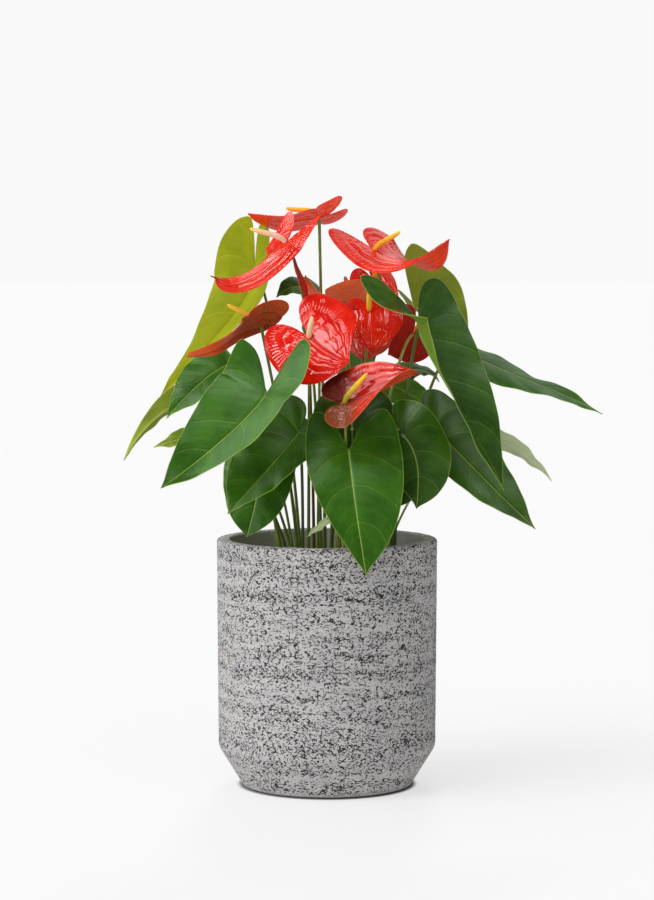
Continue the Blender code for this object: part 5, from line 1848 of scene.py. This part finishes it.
@dataclass(frozen=True)
class Studio:
    """Pale floor, soft light and the camera at the photograph's angle.

    The floor glows a little, save in a narrow ring of contact shade round the planter's foot, and
    mirrors see their own floor and panels, so that gloss doesn't depend on how pale the paper looks.
    """

    eye: Triple = (0.0, -3.04, 0.573)
    pitch: float = 3.9
    lens: float = 112.0
    sensor: float = 36.0
    farthest: float = 300.0
    floor_radius: float = 60.0
    floor_sides: int = 96
    floor_gap: float = 0.0004
    floor_tone: float = 0.27
    floor_glow: float = 0.63
    contact: float = 0.0960
    contact_fade: Pair = (0.003, 0.004)
    bright_way: Triple = (-0.82, -0.26, 0.50)
    bright_span: Pair = (-0.80, 0.95)
    bright_glow: Pair = (0.12, 1.08)
    mirror_glow: float = 0.06
    gloom: float = 0.06
    backdrop: float = 0.950

    def floor(self) -> None:
        """A wide pale disc, a hair under the planter."""
        count, radius, low = self.floor_sides, self.floor_radius, -self.floor_gap
        points = [(0.0, 0.0, low)]
        points += [(radius * math.cos(angle), radius * math.sin(angle), low) for angle in round_angles(count)]
        mesh = mesh_of("studio_floor", np.array(points), [(0, 1 + i, 1 + (i + 1) % count) for i in range(count)])
        found, rig, bsdf = surface("studio_paper")
        grain = rig.noise(rig.coordinates(), 3.0)
        tone = (self.floor_tone,) * 3
        paper = rig.mix(grain, tone, scaled(tone, 0.995))
        mirror = rig.add("ShaderNodeLightPath").outputs["Is Glossy Ray"]
        rig.put(bsdf.inputs["Base Color"], paper)
        away = rig.vector("LENGTH", rig.coordinates())
        span = (self.contact - self.contact_fade[0], self.contact + self.contact_fade[1])
        shown = rig.step(away, *span, 0.0, self.floor_glow)
        glow = rig.mix(mirror, rig.tint(shown), (self.mirror_glow,) * 3)
        rig.put(bsdf.inputs["Emission Color"], glow)
        bsdf.inputs["Emission Strength"].default_value = 1.0
        bsdf.inputs["Roughness"].default_value = 1.0
        bsdf.inputs["Specular IOR Level"].default_value = 0.0
        ground = bpy.data.objects.new("studio_floor", mesh)
        bpy.context.collection.objects.link(ground)
        mesh.materials.append(found)

    def camera(self) -> None:
        """The camera, at the photograph's place."""
        lens = bpy.data.cameras.new("camera")
        lens.lens = self.lens
        lens.sensor_width = self.sensor
        lens.sensor_fit = "AUTO"
        lens.clip_end = self.farthest
        eye = bpy.data.objects.new("camera", lens)
        eye.location = self.eye
        eye.rotation_euler = (math.radians(90 - self.pitch), 0.0, 0.0)
        bpy.context.collection.objects.link(eye)
        bpy.context.scene.camera = eye

    def sun(self, name: str, way: Triple, strength: float, spread: float) -> None:
        """A far soft light.

        Args:
            name: its name.
            way: from the plant towards the light.
            strength: its strength.
            spread: its width in degrees.
        """
        light = bpy.data.lights.new(name, "SUN")
        light.energy = strength
        light.angle = math.radians(spread)
        lamp = bpy.data.objects.new(name, light)
        lamp.rotation_euler = Vector(way).to_track_quat("Z", "Y").to_euler()
        lamp.visible_glossy = False
        bpy.context.collection.objects.link(lamp)

    def sky(self) -> None:
        """Soft light from all round, brighter on the left and above; the view shows an even backdrop."""
        world = bpy.data.worlds.new("studio_light")
        world.use_nodes = True
        rig = Rig(world.node_tree)
        back = world.node_tree.nodes["Background"]
        way = rig.add("ShaderNodeTexCoord").outputs["Generated"]
        side = rig.vector("DOT_PRODUCT", way, self.bright_way)
        level = rig.step(side, *self.bright_span, *self.bright_glow)
        path = rig.add("ShaderNodeLightPath")
        mirror: Input = self.gloom
        for panel in PANELS:
            near = rig.vector("DOT_PRODUCT", way, unit(panel.way))
            mirror = rig.plus(mirror, rig.step(near, panel.edge, panel.full, 0.0, panel.glow))
        lit = rig.add("ShaderNodeMix", data_type="FLOAT")
        rig.put(lit.inputs[0], path.outputs["Is Glossy Ray"])
        rig.put(lit.inputs[2], level)
        rig.put(lit.inputs[3], mirror)
        tone = rig.add("ShaderNodeMix", data_type="FLOAT")
        rig.put(tone.inputs[0], path.outputs["Is Camera Ray"])
        rig.put(tone.inputs[2], lit.outputs[0])
        tone.inputs[3].default_value = self.backdrop
        back.inputs["Color"].default_value = (1.0, 1.0, 1.0, 1.0)
        rig.put(back.inputs["Strength"], tone.outputs[0])
        bpy.context.scene.world = world

    def build(self) -> None:
        """Builds the studio."""
        bpy.context.scene.view_settings.view_transform = "Standard"
        self.floor()
        self.camera()
        self.sky()
        self.sun("key_light", way=(-0.60, -0.40, 0.72), strength=1.40, spread=44.0)
        self.sun("rear_light", way=(0.05, 0.78, 0.62), strength=0.75, spread=11.0)
        LOG.info("studio ready")


LEAF_LOOKS: dict[str, tuple[LeafLook, Stalk]] = {
    "leaf_front": (LeafLook.GREEN, Stalk(StalkLook.GREEN, 1.6)),
    "leaf_left_large": (LeafLook.GREEN, Stalk(StalkLook.GREEN, 1.8)),
    "leaf_left_inner": (LeafLook.GREEN, Stalk(StalkLook.DARK, 1.6)),
    "leaf_left_low": (LeafLook.GREEN, Stalk(StalkLook.GREEN, 1.4)),
    "leaf_right_low": (LeafLook.DARK, Stalk(StalkLook.DARK, 1.7)),
    "leaf_right_wide": (LeafLook.DARK, Stalk(StalkLook.DARK, 1.6)),
    "leaf_right_long": (LeafLook.DARK, Stalk(StalkLook.DARK, 1.8)),
    "leaf_right_olive": (LeafLook.OLIVE, Stalk()),
    "leaf_right_far": (LeafLook.GREEN, Stalk()),
    "leaf_right_pale": (LeafLook.PALE, Stalk(StalkLook.BRIGHT, 1.2)),
    "leaf_left_mid": (LeafLook.GREEN, Stalk()),
    "leaf_left_twisted": (LeafLook.OLIVE, Stalk(StalkLook.GREEN, 1.4)),
    "leaf_left_small": (LeafLook.OLIVE, Stalk(StalkLook.GREEN, 1.3)),
    "leaf_inner_back": (LeafLook.GREEN, Stalk()),
    "leaf_inner_bright": (LeafLook.BRIGHT, Stalk(StalkLook.BRIGHT, 1.3)),
    "leaf_inner_dark": (LeafLook.DARK, Stalk(StalkLook.DARK, 1.7)),
    "leaf_inner_middle": (LeafLook.DARK, Stalk(StalkLook.BRIGHT, 2.0)),
    "leaf_inner_top": (LeafLook.GREEN, Stalk()),
    "leaf_lime": (LeafLook.LIME, Stalk(StalkLook.GREEN, 1.5)),
    "leaf_back_left": (LeafLook.GREEN, Stalk()),
    "leaf_back_middle": (LeafLook.GREEN, Stalk()),
    "leaf_back_right": (LeafLook.DARK, Stalk()),
    "sheath_strap": (LeafLook.PALE, Stalk(StalkLook.BRIGHT, 1.3)),
}

BLOOM_LOOKS: dict[str, tuple[BloomLook, SpadixLook, StalkLook]] = {
    "bloom_centre": (BloomLook.CENTRE, SpadixLook.CREAM, StalkLook.GREEN),
    "bloom_inner": (BloomLook.INNER, SpadixLook.YELLOW, StalkLook.GREEN),
    "bloom_right_top": (BloomLook.CORAL, SpadixLook.YELLOW, StalkLook.GREEN),
    "bloom_left_top": (BloomLook.CORAL, SpadixLook.PINK, StalkLook.RED),
    "bloom_top": (BloomLook.CORAL, SpadixLook.YELLOW, StalkLook.GREEN),
    "bloom_left_brown": (BloomLook.BROWN, SpadixLook.YELLOW, StalkLook.GREEN),
    "bloom_orange_back": (BloomLook.ORANGE, SpadixLook.RUST, StalkLook.GREEN),
    "bloom_back": (BloomLook.INNER, SpadixLook.YELLOW, StalkLook.GREEN),
    "bloom_dark_back": (BloomLook.DARK, SpadixLook.YELLOW, StalkLook.BRIGHT),
    "bloom_pink": (BloomLook.PINK, SpadixLook.YELLOW, StalkLook.GREEN),
    "bloom_front_low": (BloomLook.LOW, SpadixLook.GREENISH, StalkLook.GREEN),
}


def main() -> None:
    """Builds the studio and the whole plant."""
    logging.basicConfig(level=logging.INFO, format="%(name)s: %(message)s")
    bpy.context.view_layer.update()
    Studio().build()
    Planter().build()
    PottingMix().build()
    for form in LEAF_FORMS:
        look, stalk = LEAF_LOOKS[form.name]
        Leaf(form, look, stalk).build()
    for form in BLOOM_FORMS:
        look, spadix, stalk = BLOOM_LOOKS[form.name]
        Bloom(form, look, spadix, Stalk(stalk, PEDUNCLE_RADIUS, PEDUNCLE_NECK)).build()
    Bud().build()


if __name__ == "__main__":
    main()
